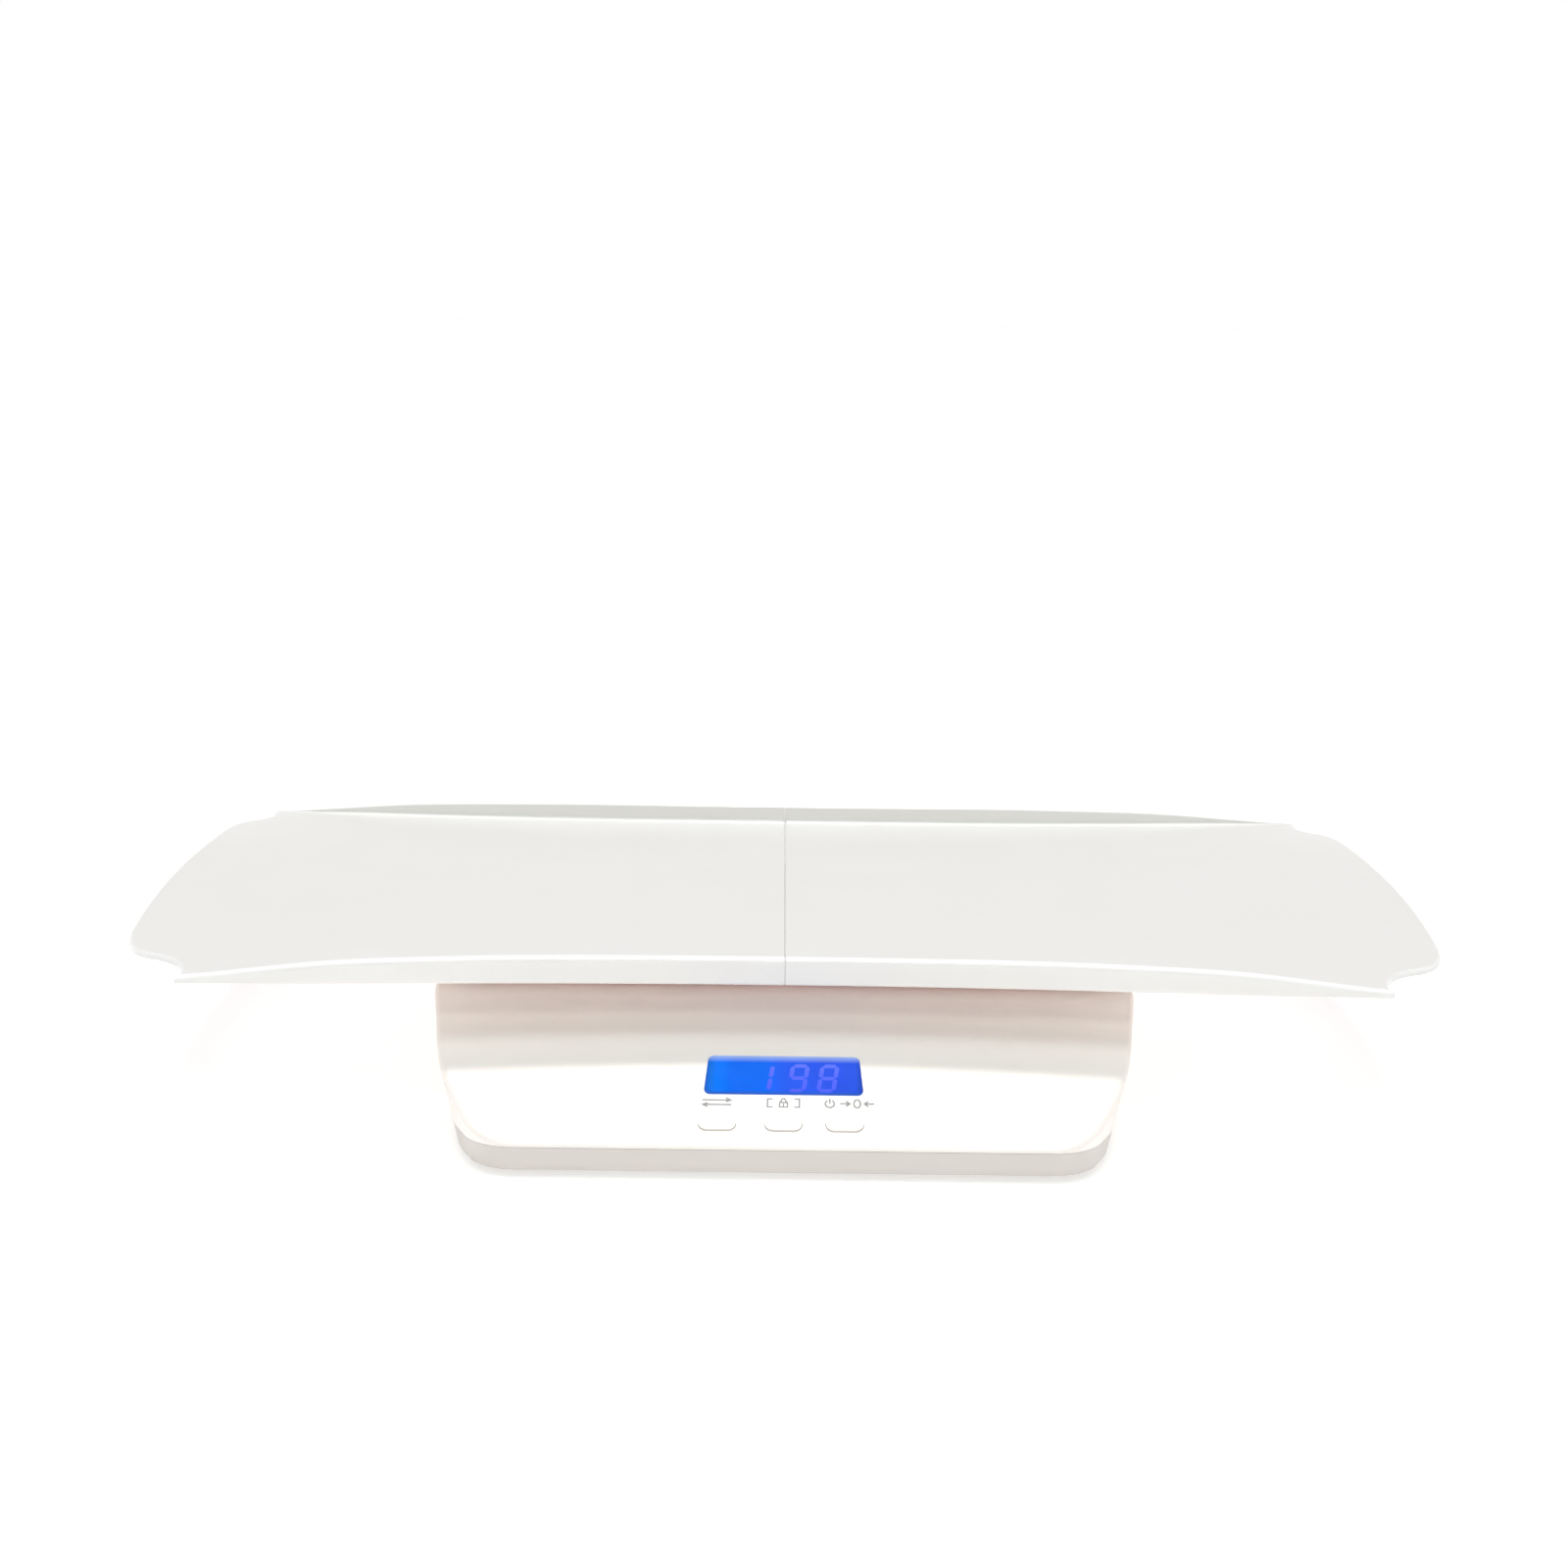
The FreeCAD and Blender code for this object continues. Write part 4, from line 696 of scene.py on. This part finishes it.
        verts.append((XY[k, j, 0] + 0.12 * lean[k, j, 0], XY[k, j, 1] + 0.12 * lean[k, j, 1] + TY, zt - 0.12 * (zt - zb)))
    for k, j in loop:
        zt, zb = ZT[k, j], ZB[k, j]
        verts.append((XY[k, j, 0] + 0.88 * lean[k, j, 0], XY[k, j, 1] + 0.88 * lean[k, j, 1] + TY, zb + 0.12 * (zt - zb)))
    for i in range(n):
        a, b2 = loop[i], loop[(i + 1) % n]
        w0, w1 = base + i, base + (i + 1) % n
        v0, v1 = base + n + i, base + n + (i + 1) % n
        faces.append((top(*a), w0, w1, top(*b2)))
        faces.append((w0, v0, v1, w1))
        faces.append((v0, bot(*a), bot(*b2), v1))
    # how much each point belongs to a rounded outer edge, where a paler colour is painted on as a highlight
    rim_highlight = np.zeros(len(verts))
    for k in range(K):
        for j in range(J):
            g = 0.0
            if j < nr or j >= J - nr:
                row = rows[j] if j < nr else rows[J - 1 - j]
                if row[0] == "o":
                    g = 0.35 + 0.65 * math.sin(row[1]) ** 0.5
                elif row[0] == "i":
                    g = 0.8 * math.sin(row[1]) ** 2
            if k >= K - len(xs_end):
                a = q[K - 1 - k]
                g = max(g, 0.75 * math.cos(a) ** 0.5 if a < 1.5 else 0.0)
            rim_highlight[k * J + j] = g
    for i, (k, j) in enumerate(loop):
        rim_highlight[base + i] = 0.3 * rim_highlight[k * J + j]
    verts = [(sign * x, y, z) for x, y, z in verts]
    o = mesh_object(name, verts, faces, M["tray"], body, merge=0, recalc=True)
    at = o.data.attributes.new("edge", "FLOAT", "POINT")
    at.data.foreach_set("value", rim_highlight[:len(o.data.vertices)])
    bm = bmesh.new()
    bm.from_mesh(o.data)
    bmesh.ops.remove_doubles(bm, verts=bm.verts, dist=2e-6)
    bmesh.ops.dissolve_degenerate(bm, edges=bm.edges, dist=2e-6)
    bmesh.ops.recalc_face_normals(bm, faces=bm.faces)
    bm.to_mesh(o.data)
    bm.free()
    o.data.materials.append(M["under"])
    for p in o.data.polygons:
        p.use_smooth = True
        p.material_index = 1 if p.normal.z < -0.8 else 0
    sharp_by_angle(o, 50)
    return o, P


def bevelled_boxes(name, boxes, mat, body, width=0.4, segments=2):
    """Closed boxes (x0, x1, y0, y1, z0, z1, in millimetres) with eased edges."""
    bm = bmesh.new()
    for x0, x1, y0, y1, z0, z1 in boxes:
        r = bmesh.ops.create_cube(bm, size=1.0)
        for v in r["verts"]:
            v.co = Vector(((x0 if v.co.x < 0 else x1), (y0 if v.co.y < 0 else y1), (z0 if v.co.z < 0 else z1))) * MM
    bmesh.ops.bevel(bm, geom=list(bm.edges), offset=width * MM, segments=segments, affect="EDGES", profile=0.5)
    bmesh.ops.recalc_face_normals(bm, faces=bm.faces)
    me = bpy.data.meshes.new(name)
    bm.to_mesh(me)
    bm.free()
    for p in me.polygons:
        p.use_smooth = True
    o = bpy.data.objects.new(name, me)
    bpy.context.scene.collection.objects.link(o)
    o.data.materials.append(mat)
    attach(o, body)
    sharp_by_angle(o, 40)
    return o


def rib_mesh(name, sign, body):
    """Underside ribs whose upper edges follow the sheet."""
    bm = bmesh.new()

    def rib(p, q, t, zlow, n):
        (xa, ya), (xb, yb) = p, q
        L = math.hypot(xb - xa, yb - ya)
        nx, ny = -(yb - ya) / L * t / 2, (xb - xa) / L * t / 2
        rings = []
        c = 0.45
        for i in range(n + 1):
            f = i / n
            x, y = xa + (xb - xa) * f, ya + (yb - ya) * f
            zt = float(floor_z(np.array(x), np.array(y))) - THICK + 0.5
            pts = [(x - nx, y - ny, zt), (x - nx, y - ny, zlow + c), (x - nx * 0.45, y - ny * 0.45, zlow), (x + nx * 0.45, y + ny * 0.45, zlow), (x + nx, y + ny, zlow + c), (x + nx, y + ny, zt)]
            rings.append([bm.verts.new(Vector((sign * a, b + TY, z)) * MM) for a, b, z in pts])
        for r0, r1 in zip(rings, rings[1:]):
            for i in range(6):
                bm.faces.new((r0[i], r0[(i + 1) % 6], r1[(i + 1) % 6], r1[i]))
        bm.faces.new(rings[0])
        bm.faces.new(rings[-1][::-1])
    for y in (-118.0, -31.0, 31.0, 118.0):
        rib((6.0, y), (224.0, y), 1.8, 66.0, 24)
    for x in (128.0, 176.0, 222.0):
        rib((x + 0.9, -118.0), (x + 0.9, 118.0), 1.8, 66.0, 20)
    bmesh.ops.recalc_face_normals(bm, faces=bm.faces)
    me = bpy.data.meshes.new(name)
    bm.to_mesh(me)
    bm.free()
    for p in me.polygons:
        p.use_smooth = False
    o = bpy.data.objects.new(name, me)
    bpy.context.scene.collection.objects.link(o)
    o.data.materials.append(M["tray"])
    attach(o, body)
    return o


for side, sign in (("left", -1), ("right", 1)):
    body = "tray_" + side
    shell, _ = tray_half("tray_%s_sheet" % side, sign, body)
    ribs = rib_mesh("tray_%s_ribs" % side, sign, body)
    boxes = []
    for ry in (-48.0, 76.0):
        for k in (-1, 1):
            ys = sorted((ry + k * 7.4, ry + k * 9.9))
            xs = sorted((sign * 3.0, sign * 112.0))
            boxes.append((xs[0], xs[1], ys[0], ys[1], 62.8, 70.5))
            ys = sorted((ry + k * 3.5, ry + k * 7.9))
            boxes.append((xs[0], xs[1], ys[0], ys[1], 62.8, 65.6))
    chan = bevelled_boxes("tray_%s_channels" % side, boxes, M["tray"], body, 0.35)
    for o in (shell, ribs, chan):
        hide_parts(body)

# ------------------------------------------------------------------ the lit display
def srgb(r, g, b):
    f = lambda c: (c / 255) / 12.92 if c / 255 <= 0.04045 else ((c / 255 + 0.055) / 1.055) ** 2.4
    return (f(r), f(g), f(b), 1.0)


def ramp_of(nt, stops, interpolation="LINEAR"):
    r = nt.nodes.new("ShaderNodeValToRGB")
    r.color_ramp.interpolation = interpolation
    e = r.color_ramp.elements
    e[0].position, e[0].color = stops[0][0], stops[0][1]
    e[1].position, e[1].color = stops[-1][0], stops[-1][1]
    for p, c in stops[1:-1]:
        k = e.new(p)
        k.color = c
    return r


def panel_coordinates(nt):
    """x and the way up the slope, in metres, from the object's own coordinates."""
    tc = nt.nodes.new("ShaderNodeTexCoord")
    dot = nt.nodes.new("ShaderNodeVectorMath")
    dot.operation = "DOT_PRODUCT"
    dot.inputs[1].default_value = (0.0, COS, SIN)
    nt.links.new(tc.outputs["Object"], dot.inputs[0])
    sep = nt.nodes.new("ShaderNodeSeparateXYZ")
    nt.links.new(tc.outputs["Object"], sep.inputs["Vector"])
    return tc, sep.outputs["X"], dot.outputs["Value"]


V_OFF = (PANEL_Y * COS + PANEL_Z * SIN) * MM


def window_material():
    """Tinted window over a backlight: brighter by its lamp on the left, violet where the figures are, dim at its rim,
    and with a painted reflection, a pale band along its top edge.
    """
    m, nt, b = new_material("lit_blue_window")
    L = nt.links
    tc, x, v = panel_coordinates(nt)
    mx = nt.nodes.new("ShaderNodeMapRange")
    mx.inputs["From Min"].default_value = -0.0321
    mx.inputs["From Max"].default_value = 0.0321
    L.new(x, mx.inputs["Value"])
    across = ramp_of(nt, [(0.0, srgb(40, 92, 190)), (0.03, srgb(16, 114, 222)), (0.075, srgb(0, 124, 255)), (0.115, srgb(0, 121, 254)),
                          (0.16, srgb(2, 111, 250)), (0.40, srgb(2, 107, 246)), (0.455, srgb(30, 99, 246)), (0.53, srgb(36, 93, 243)),
                          (0.8, srgb(44, 88, 240)), (0.955, srgb(44, 90, 236)), (0.985, srgb(38, 78, 196)), (1.0, srgb(60, 86, 186))])
    L.new(mx.outputs["Result"], across.inputs["Fac"])
    mv = nt.nodes.new("ShaderNodeMapRange")
    mv.inputs["From Min"].default_value = V_OFF + 0.0262
    mv.inputs["From Max"].default_value = V_OFF + 0.0460
    L.new(v, mv.inputs["Value"])
    low = ramp_of(nt, [(0.0, (1, 1, 1, 1)), (0.045, (0.8, 0.8, 0.8, 1)), (0.10, (0, 0, 0, 1)), (1.0, (0, 0, 0, 1))])
    L.new(mv.outputs["Result"], low.inputs["Fac"])
    # painted reflection: a pale band along the window's top edge
    top_reflection = ramp_of(nt, [(0.0, (0, 0, 0, 1)), (0.83, (0, 0, 0, 1)), (0.91, (0.42, 0.42, 0.42, 1)), (1.0, (1, 1, 1, 1))])
    L.new(mv.outputs["Result"], top_reflection.inputs["Fac"])
    m1 = nt.nodes.new("ShaderNodeMix")
    m1.data_type = "RGBA"
    L.new(low.outputs["Color"], m1.inputs["Factor"])
    L.new(across.outputs["Color"], m1.inputs["A"])
    m1.inputs["B"].default_value = srgb(44, 96, 196)
    m2 = nt.nodes.new("ShaderNodeMix")
    m2.data_type = "RGBA"
    L.new(top_reflection.outputs["Color"], m2.inputs["Factor"])
    L.new(m1.outputs["Result"], m2.inputs["A"])
    m2.inputs["B"].default_value = srgb(168, 192, 242)
    glow = nt.nodes.new("ShaderNodeTexNoise")
    glow.inputs["Scale"].default_value = 90.0
    glow.inputs["Detail"].default_value = 2.0
    L.new(tc.outputs["Object"], glow.inputs["Vector"])
    gr = nt.nodes.new("ShaderNodeMapRange")
    gr.inputs["From Min"].default_value = 0.3
    gr.inputs["From Max"].default_value = 0.7
    gr.inputs["To Min"].default_value = 0.90
    gr.inputs["To Max"].default_value = 1.0
    L.new(glow.outputs["Fac"], gr.inputs["Value"])
    L.new(m2.outputs["Result"], b.inputs["Emission Color"])
    L.new(gr.outputs["Result"], b.inputs["Emission Strength"])
    sm = nt.nodes.new("ShaderNodeTexNoise")
    sm.inputs["Scale"].default_value = 160.0
    sm.inputs["Detail"].default_value = 4.0
    L.new(tc.outputs["Object"], sm.inputs["Vector"])
    rr = nt.nodes.new("ShaderNodeMapRange")
    rr.inputs["To Min"].default_value = 0.06
    rr.inputs["To Max"].default_value = 0.20
    L.new(sm.outputs["Fac"], rr.inputs["Value"])
    L.new(rr.outputs["Result"], b.inputs["Roughness"])
    b.inputs["Base Color"].default_value = (0.001, 0.006, 0.04, 1)
    b.inputs["Specular IOR Level"].default_value = 0.004
    return m


M["window"] = window_material()
assign("display_window", M["window"])


def figure_material():
    """Lit liquid-crystal figures: paler violet, a little stronger towards their upper ends."""
    m, nt, b = new_material("lit_figures")
    L = nt.links
    tc, x, v = panel_coordinates(nt)
    mv = nt.nodes.new("ShaderNodeMapRange")
    mv.inputs["From Min"].default_value = V_OFF + 0.0270
    mv.inputs["From Max"].default_value = V_OFF + 0.0425
    L.new(v, mv.inputs["Value"])
    r = ramp_of(nt, [(0.0, srgb(82, 100, 252)), (0.6, srgb(90, 110, 255)), (1.0, srgb(102, 124, 255))])
    L.new(mv.outputs["Result"], r.inputs["Fac"])
    L.new(r.outputs["Color"], b.inputs["Emission Color"])
    b.inputs["Emission Strength"].default_value = 1.0
    b.inputs["Base Color"].default_value = (0.001, 0.006, 0.04, 1)
    b.inputs["Roughness"].default_value = 0.12
    b.inputs["Specular IOR Level"].default_value = 0.004
    return m


def prisms(name, outlines, w0, w1, mat, body, step=0.0):
    """Flat pieces on the slope: each outline in (x, v) millimetres, closed, from w0 up to w1."""
    bm = bmesh.new()
    for i, pts in enumerate(outlines):
        a, c = w0 + i * 0.0, w1 + i * step
        lo = [bm.verts.new(panel(x, v, a)) for x, v in pts]
        hi = [bm.verts.new(panel(x, v, c)) for x, v in pts]
        n = len(pts)
        for k in range(n):
            bm.faces.new((lo[k], lo[(k + 1) % n], hi[(k + 1) % n], hi[k]))
        bm.faces.new(hi)
        bm.faces.new(lo[::-1])
    bmesh.ops.recalc_face_normals(bm, faces=bm.faces)
    me = bpy.data.meshes.new(name)
    bm.to_mesh(me)
    bm.free()
    o = bpy.data.objects.new(name, me)
    bpy.context.scene.collection.objects.link(o)
    o.data.materials.append(mat)
    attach(o, body)
    return o


def strokes(name, lines, width, w0, w1, mat, body):
    """Inked lines on the slope: each a list of (x, v) points, or a closed loop, with round ends."""
    bm = bmesh.new()
    for i, (pts, closed) in enumerate(lines):
        top = w1 + 0.003 * i
        P = [Vector(p) for p in pts]
        n = len(P)
        left, right = [], []
        for k in range(n):
            p = P[k]
            a = P[(k - 1) % n] if (closed or k) else None
            c = P[(k + 1) % n] if (closed or k < n - 1) else None
            d0 = (p - a).normalized() if a is not None else (c - p).normalized()
            d1 = (c - p).normalized() if c is not None else d0
            n0, n1 = Vector((-d0.y, d0.x)), Vector((-d1.y, d1.x))
            m = (n0 + n1).normalized()
            m *= min(1.0 / max(m.dot(n0), 0.35), 2.2) * width / 2
            left.append(p + m)
            right.append(p - m)
        if closed:
            rings = []
            for k in range(n):
                rings.append([bm.verts.new(panel(left[k].x, left[k].y, w0)), bm.verts.new(panel(left[k].x, left[k].y, top)),
                              bm.verts.new(panel(right[k].x, right[k].y, top)), bm.verts.new(panel(right[k].x, right[k].y, w0))])
            for k in range(n):
                a, c = rings[k], rings[(k + 1) % n]
                for j in range(4):
                    bm.faces.new((a[j], a[(j + 1) % 4], c[(j + 1) % 4], c[j]))
        else:
            def cap(centre, frm, to):
                a0 = math.atan2((frm - centre).y, (frm - centre).x)
                out = []
                for j in range(1, 6):
                    t = a0 - math.pi * j / 6
                    out.append(Vector((centre.x + math.cos(t) * width / 2, centre.y + math.sin(t) * width / 2)))
                return out
            outline = left + cap(P[-1], left[-1], right[-1]) + right[::-1] + cap(P[0], right[0], left[0])
            lo = [bm.verts.new(panel(q.x, q.y, w0)) for q in outline]
            hi = [bm.verts.new(panel(q.x, q.y, top)) for q in outline]
            m_ = len(outline)
            for k in range(m_):
                bm.faces.new((lo[k], lo[(k + 1) % m_], hi[(k + 1) % m_], hi[k]))
            bm.faces.new(hi)
            bm.faces.new(lo[::-1])
    bmesh.ops.recalc_face_normals(bm, faces=bm.faces)
    me = bpy.data.meshes.new(name)
    bm.to_mesh(me)
    bm.free()
    o = bpy.data.objects.new(name, me)
    bpy.context.scene.collection.objects.link(o)
    o.data.materials.append(mat)
    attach(o, body)
    return o


SEGMENTS = {"1": "bc", "8": "abcdefg", "9": "abcdfg"}


def figure(ch, x0, v0, w, h, t, slant):
    """Seven-segment figure: six-sided bars with thin gaps, leaning with the slant."""
    g = 0.16
    y2 = h / 2

    def bar(xa, ya, xb, yb):
        L = math.hypot(xb - xa, yb - ya)
        ux, uy = (xb - xa) / L, (yb - ya) / L
        nx, ny = -uy, ux
        a = (xa + ux * g, ya + uy * g)
        b = (xb - ux * g, yb - uy * g)
        q = t / 2
        pts = [a, (a[0] + ux * q + nx * q, a[1] + uy * q + ny * q), (b[0] - ux * q + nx * q, b[1] - uy * q + ny * q), b,
               (b[0] - ux * q - nx * q, b[1] - uy * q - ny * q), (a[0] + ux * q - nx * q, a[1] + uy * q - ny * q)]
        return [(x0 + px + (py - 0) * slant, v0 + py) for px, py in pts]

    l, r, lo_, hi_ = t / 2, w - t / 2, t / 2, h - t / 2
    S = {"a": (l, hi_, r, hi_), "b": (r, y2, r, hi_), "c": (r, lo_, r, y2), "d": (l, lo_, r, lo_), "e": (l, lo_, l, y2), "f": (l, y2, l, hi_), "g": (l, y2, r, y2)}
    return [bar(*S[k]) for k in SEGMENTS[ch]]


M["figures"] = figure_material()
outl = []
outl += figure("1", -13.2, 27.6, 7.8, 14.4, 1.8, 0.14)
outl += figure("9", 1.0, 27.6, 7.8, 14.4, 1.8, 0.14)
outl += figure("8", 13.0, 27.6, 7.8, 14.4, 1.8, 0.14)
prisms("lit_figures", outl, -0.07, -0.03, M["figures"], "base")


# ------------------------------------------------------------------ grey pictograms in the captions' places
def ink_material():
    m, nt, b = new_material("grey_pad_print")
    L = nt.links
    tc = nt.nodes.new("ShaderNodeTexCoord")
    n = nt.nodes.new("ShaderNodeTexNoise")
    n.inputs["Scale"].default_value = 900.0
    n.inputs["Detail"].default_value = 3.0
    L.new(tc.outputs["Object"], n.inputs["Vector"])
    r = ramp_of(nt, [(0.3, (0.20, 0.205, 0.20, 1)), (0.75, (0.26, 0.265, 0.26, 1))])
    L.new(n.outputs["Fac"], r.inputs["Fac"])
    L.new(r.outputs["Color"], b.inputs["Base Color"])
    rr = nt.nodes.new("ShaderNodeMapRange")
    rr.inputs["To Min"].default_value = 0.4
    rr.inputs["To Max"].default_value = 0.6
    L.new(n.outputs["Fac"], rr.inputs["Value"])
    L.new(rr.outputs["Result"], b.inputs["Roughness"])
    return m


M["ink"] = ink_material()


def ring(cx, cy, rx, ry, n=28, t0=0.0, t1=2 * math.pi):
    full = abs(t1 - t0) > 6.2
    k = n if full else n + 1
    return [(cx + rx * math.cos(t0 + (t1 - t0) * i / n), cy + ry * math.sin(t0 + (t1 - t0) * i / n)) for i in range(k)]


V = 22.0
lines = []
# swap arrows: change of unit
cx = -26.8
lines += [([(cx - 5.6, V + 1.15), (cx + 5.6, V + 1.15)], False), ([(cx + 3.9, V + 2.15), (cx + 5.6, V + 1.15), (cx + 3.9, V + 0.15 + 0.25)], False),
          ([(cx - 5.6, V - 1.15), (cx + 5.6, V - 1.15)], False), ([(cx - 3.9, V - 0.4), (cx - 5.6, V - 1.15), (cx - 3.9, V - 2.15)], False)]
# padlock between two brackets: hold the reading
cx = 0.0
lines += [([(cx - 1.6, V - 2.05), (cx + 1.6, V - 2.05), (cx + 1.6, V + 0.25), (cx - 1.6, V + 0.25)], True),
          (ring(cx, V + 0.35, 1.05, 1.85, 14, 0.0, math.pi), False), ([(cx, V - 0.6), (cx, V - 1.3)], False)]
for k in (-1, 1):
    lines.append(([(cx + k * 4.6, V + 2.0), (cx + k * 6.4, V + 2.0), (cx + k * 6.4, V - 2.05), (cx + k * 4.6, V - 2.05)], False))
# power sign, and the sign for setting to zero
cx = 18.6
lines += [(ring(cx, V - 0.15, 1.85, 1.85, 22, math.pi / 2 + 0.62, math.pi / 2 + 2 * math.pi - 0.62), False), ([(cx, V + 0.3), (cx, V + 2.2)], False)]
cx = 29.6
lines += [(ring(cx, V, 1.3, 2.05), True)]
for k in (-1, 1):
    lines += [([(cx + k * 6.6, V), (cx + k * 2.9, V)], False), ([(cx + k * 4.3, V + 1.1), (cx + k * 2.9, V), (cx + k * 4.3, V - 1.1)], False)]
strokes("pictograms", lines, 0.66, -0.02, 0.03, M["ink"], "base")

# ------------------------------------------------------------------ floor, light and camera
GLOW_NEAR, GLOW_FAR = 0.395, 0.030


def stage_material():
    m, nt, b = new_material("pale_floor")
    L = nt.links
    tc = nt.nodes.new("ShaderNodeTexCoord")
    n = nt.nodes.new("ShaderNodeTexNoise")
    n.inputs["Scale"].default_value = 3.0
    L.new(tc.outputs["Object"], n.inputs["Vector"])
    ramp = nt.nodes.new("ShaderNodeValToRGB")
    ramp.color_ramp.elements[0].color = (0.945, 0.945, 0.945, 1)
    ramp.color_ramp.elements[1].color = (0.955, 0.955, 0.955, 1)
    L.new(n.outputs["Fac"], ramp.inputs["Fac"])
    L.new(ramp.outputs["Color"], b.inputs["Base Color"])
    b.inputs["Roughness"].default_value = 0.9
    b.inputs["Specular IOR Level"].default_value = 0.1
    # a light table: the white sheet glows softly under and around the scale
    b.inputs["Emission Color"].default_value = (0.97, 0.99, 1.0, 1)
    place = nt.nodes.new("ShaderNodeMapping")
    place.vector_type = "TEXTURE"
    place.inputs["Location"].default_value = (0.0, 0.03, 0.0)
    place.inputs["Scale"].default_value = (0.46, 0.27, 1.0)
    L.new(tc.outputs["Object"], place.inputs["Vector"])
    far = nt.nodes.new("ShaderNodeVectorMath")
    far.operation = "LENGTH"
    L.new(place.outputs["Vector"], far.inputs[0])
    glow = nt.nodes.new("ShaderNodeMapRange")
    glow.interpolation_type = "SMOOTHSTEP"
    glow.inputs["From Min"].default_value = 0.65
    glow.inputs["From Max"].default_value = 1.35
    glow.inputs["To Min"].default_value = GLOW_NEAR
    glow.inputs["To Max"].default_value = GLOW_FAR
    L.new(far.outputs["Value"], glow.inputs["Value"])
    L.new(glow.outputs["Result"], b.inputs["Emission Strength"])
    return m


me = bpy.data.meshes.new("studio_floor")
vs = [(9.0 * math.cos(2 * math.pi * i / 96), 9.0 * math.sin(2 * math.pi * i / 96), -0.0002) for i in range(96)]
me.from_pydata(vs, [], [list(range(96))])
for p in me.polygons:
    p.use_smooth = True
floor = bpy.data.objects.new("studio_floor", me)
bpy.context.scene.collection.objects.link(floor)
floor.data.materials.append(stage_material())

world = bpy.data.worlds.new("studio")
bpy.context.scene.world = world
world.use_nodes = True
wt = world.node_tree
bg = next(n for n in wt.nodes if n.type == "BACKGROUND")
# a round of pale paper up to some 20 degrees, and a dimmer, warmer room above it
wtc = wt.nodes.new("ShaderNodeTexCoord")
wsep = wt.nodes.new("ShaderNodeSeparateXYZ")
wt.links.new(wtc.outputs["Generated"], wsep.inputs["Vector"])
sky = ramp_of(wt, [(0.0, (1.000, 1.000, 1.000, 1)), (0.14, (1.000, 1.000, 1.000, 1)), (0.20, (0.482, 0.402, 0.378, 1)), (0.31, (0.482, 0.402, 0.378, 1)), (0.42, (0.313, 0.331, 0.364, 1)), (1.0, (0.313, 0.331, 0.364, 1))])
wt.links.new(wsep.outputs["Z"], sky.inputs["Fac"])
wt.links.new(sky.outputs["Color"], bg.inputs["Color"])
bg.inputs["Strength"].default_value = 1.0


def soft_sun(name, azimuth, elevation, spread, strength, colour):
    """A far, wide softbox: azimuth in degrees from +X towards +Y."""
    d = bpy.data.lights.new(name, "SUN")
    d.energy = strength * math.pi
    d.angle = math.radians(spread)
    d.color = colour
    o = bpy.data.objects.new(name, d)
    a, e = math.radians(azimuth), math.radians(elevation)
    v = Vector((math.cos(e) * math.cos(a), math.cos(e) * math.sin(a), math.sin(e)))
    o.location = v * 3.0
    o.rotation_euler = v.to_track_quat("Z", "Y").to_euler()
    bpy.context.scene.collection.objects.link(o)
    return o


soft_sun("overhead_softbox", 88.0, 81.0, 6.0, 0.5090, (1.000, 0.944, 0.941))
soft_sun("high_softbox", -91.0, 77.0, 17.0, 0.2304, (0.865, 1.000, 0.984))
soft_sun("front_softbox", -91.0, 46.5, 11.5, 0.1175, (0.961, 1.000, 0.836))

# the camera: fitted to the object's corners, no lens shift
cam_data = bpy.data.cameras.new("camera")
cam = bpy.data.objects.new("camera", cam_data)
bpy.context.scene.collection.objects.link(cam)
bpy.context.scene.camera = cam
cam_data.sensor_width = 36.0
cam_data.lens = 2815.0 / 1600.0 * 36.0
cam_data.clip_start, cam_data.clip_end = 0.05, 60.0
pitch, yaw, roll = math.radians(11.59), math.radians(0.13), math.radians(0.76)
fwd = Vector((math.sin(yaw) * math.cos(pitch), math.cos(yaw) * math.cos(pitch), -math.sin(pitch)))
rgt = Vector((math.cos(yaw), -math.sin(yaw), 0.0))
up = rgt.cross(fwd)
r2 = rgt * math.cos(roll) + up * math.sin(roll)
u2 = up * math.cos(roll) - rgt * math.sin(roll)
rot = Matrix((r2, u2, -fwd)).transposed()
cam.matrix_world = Matrix.Translation(Vector((-3.9, -1215.5, 374.9)) * MM) @ rot.to_4x4()

sc = bpy.context.scene
sc.view_settings.view_transform = "Standard"
sc.view_settings.look = "None"
sc.view_settings.exposure = 0.0
sc.view_settings.gamma = 1.0
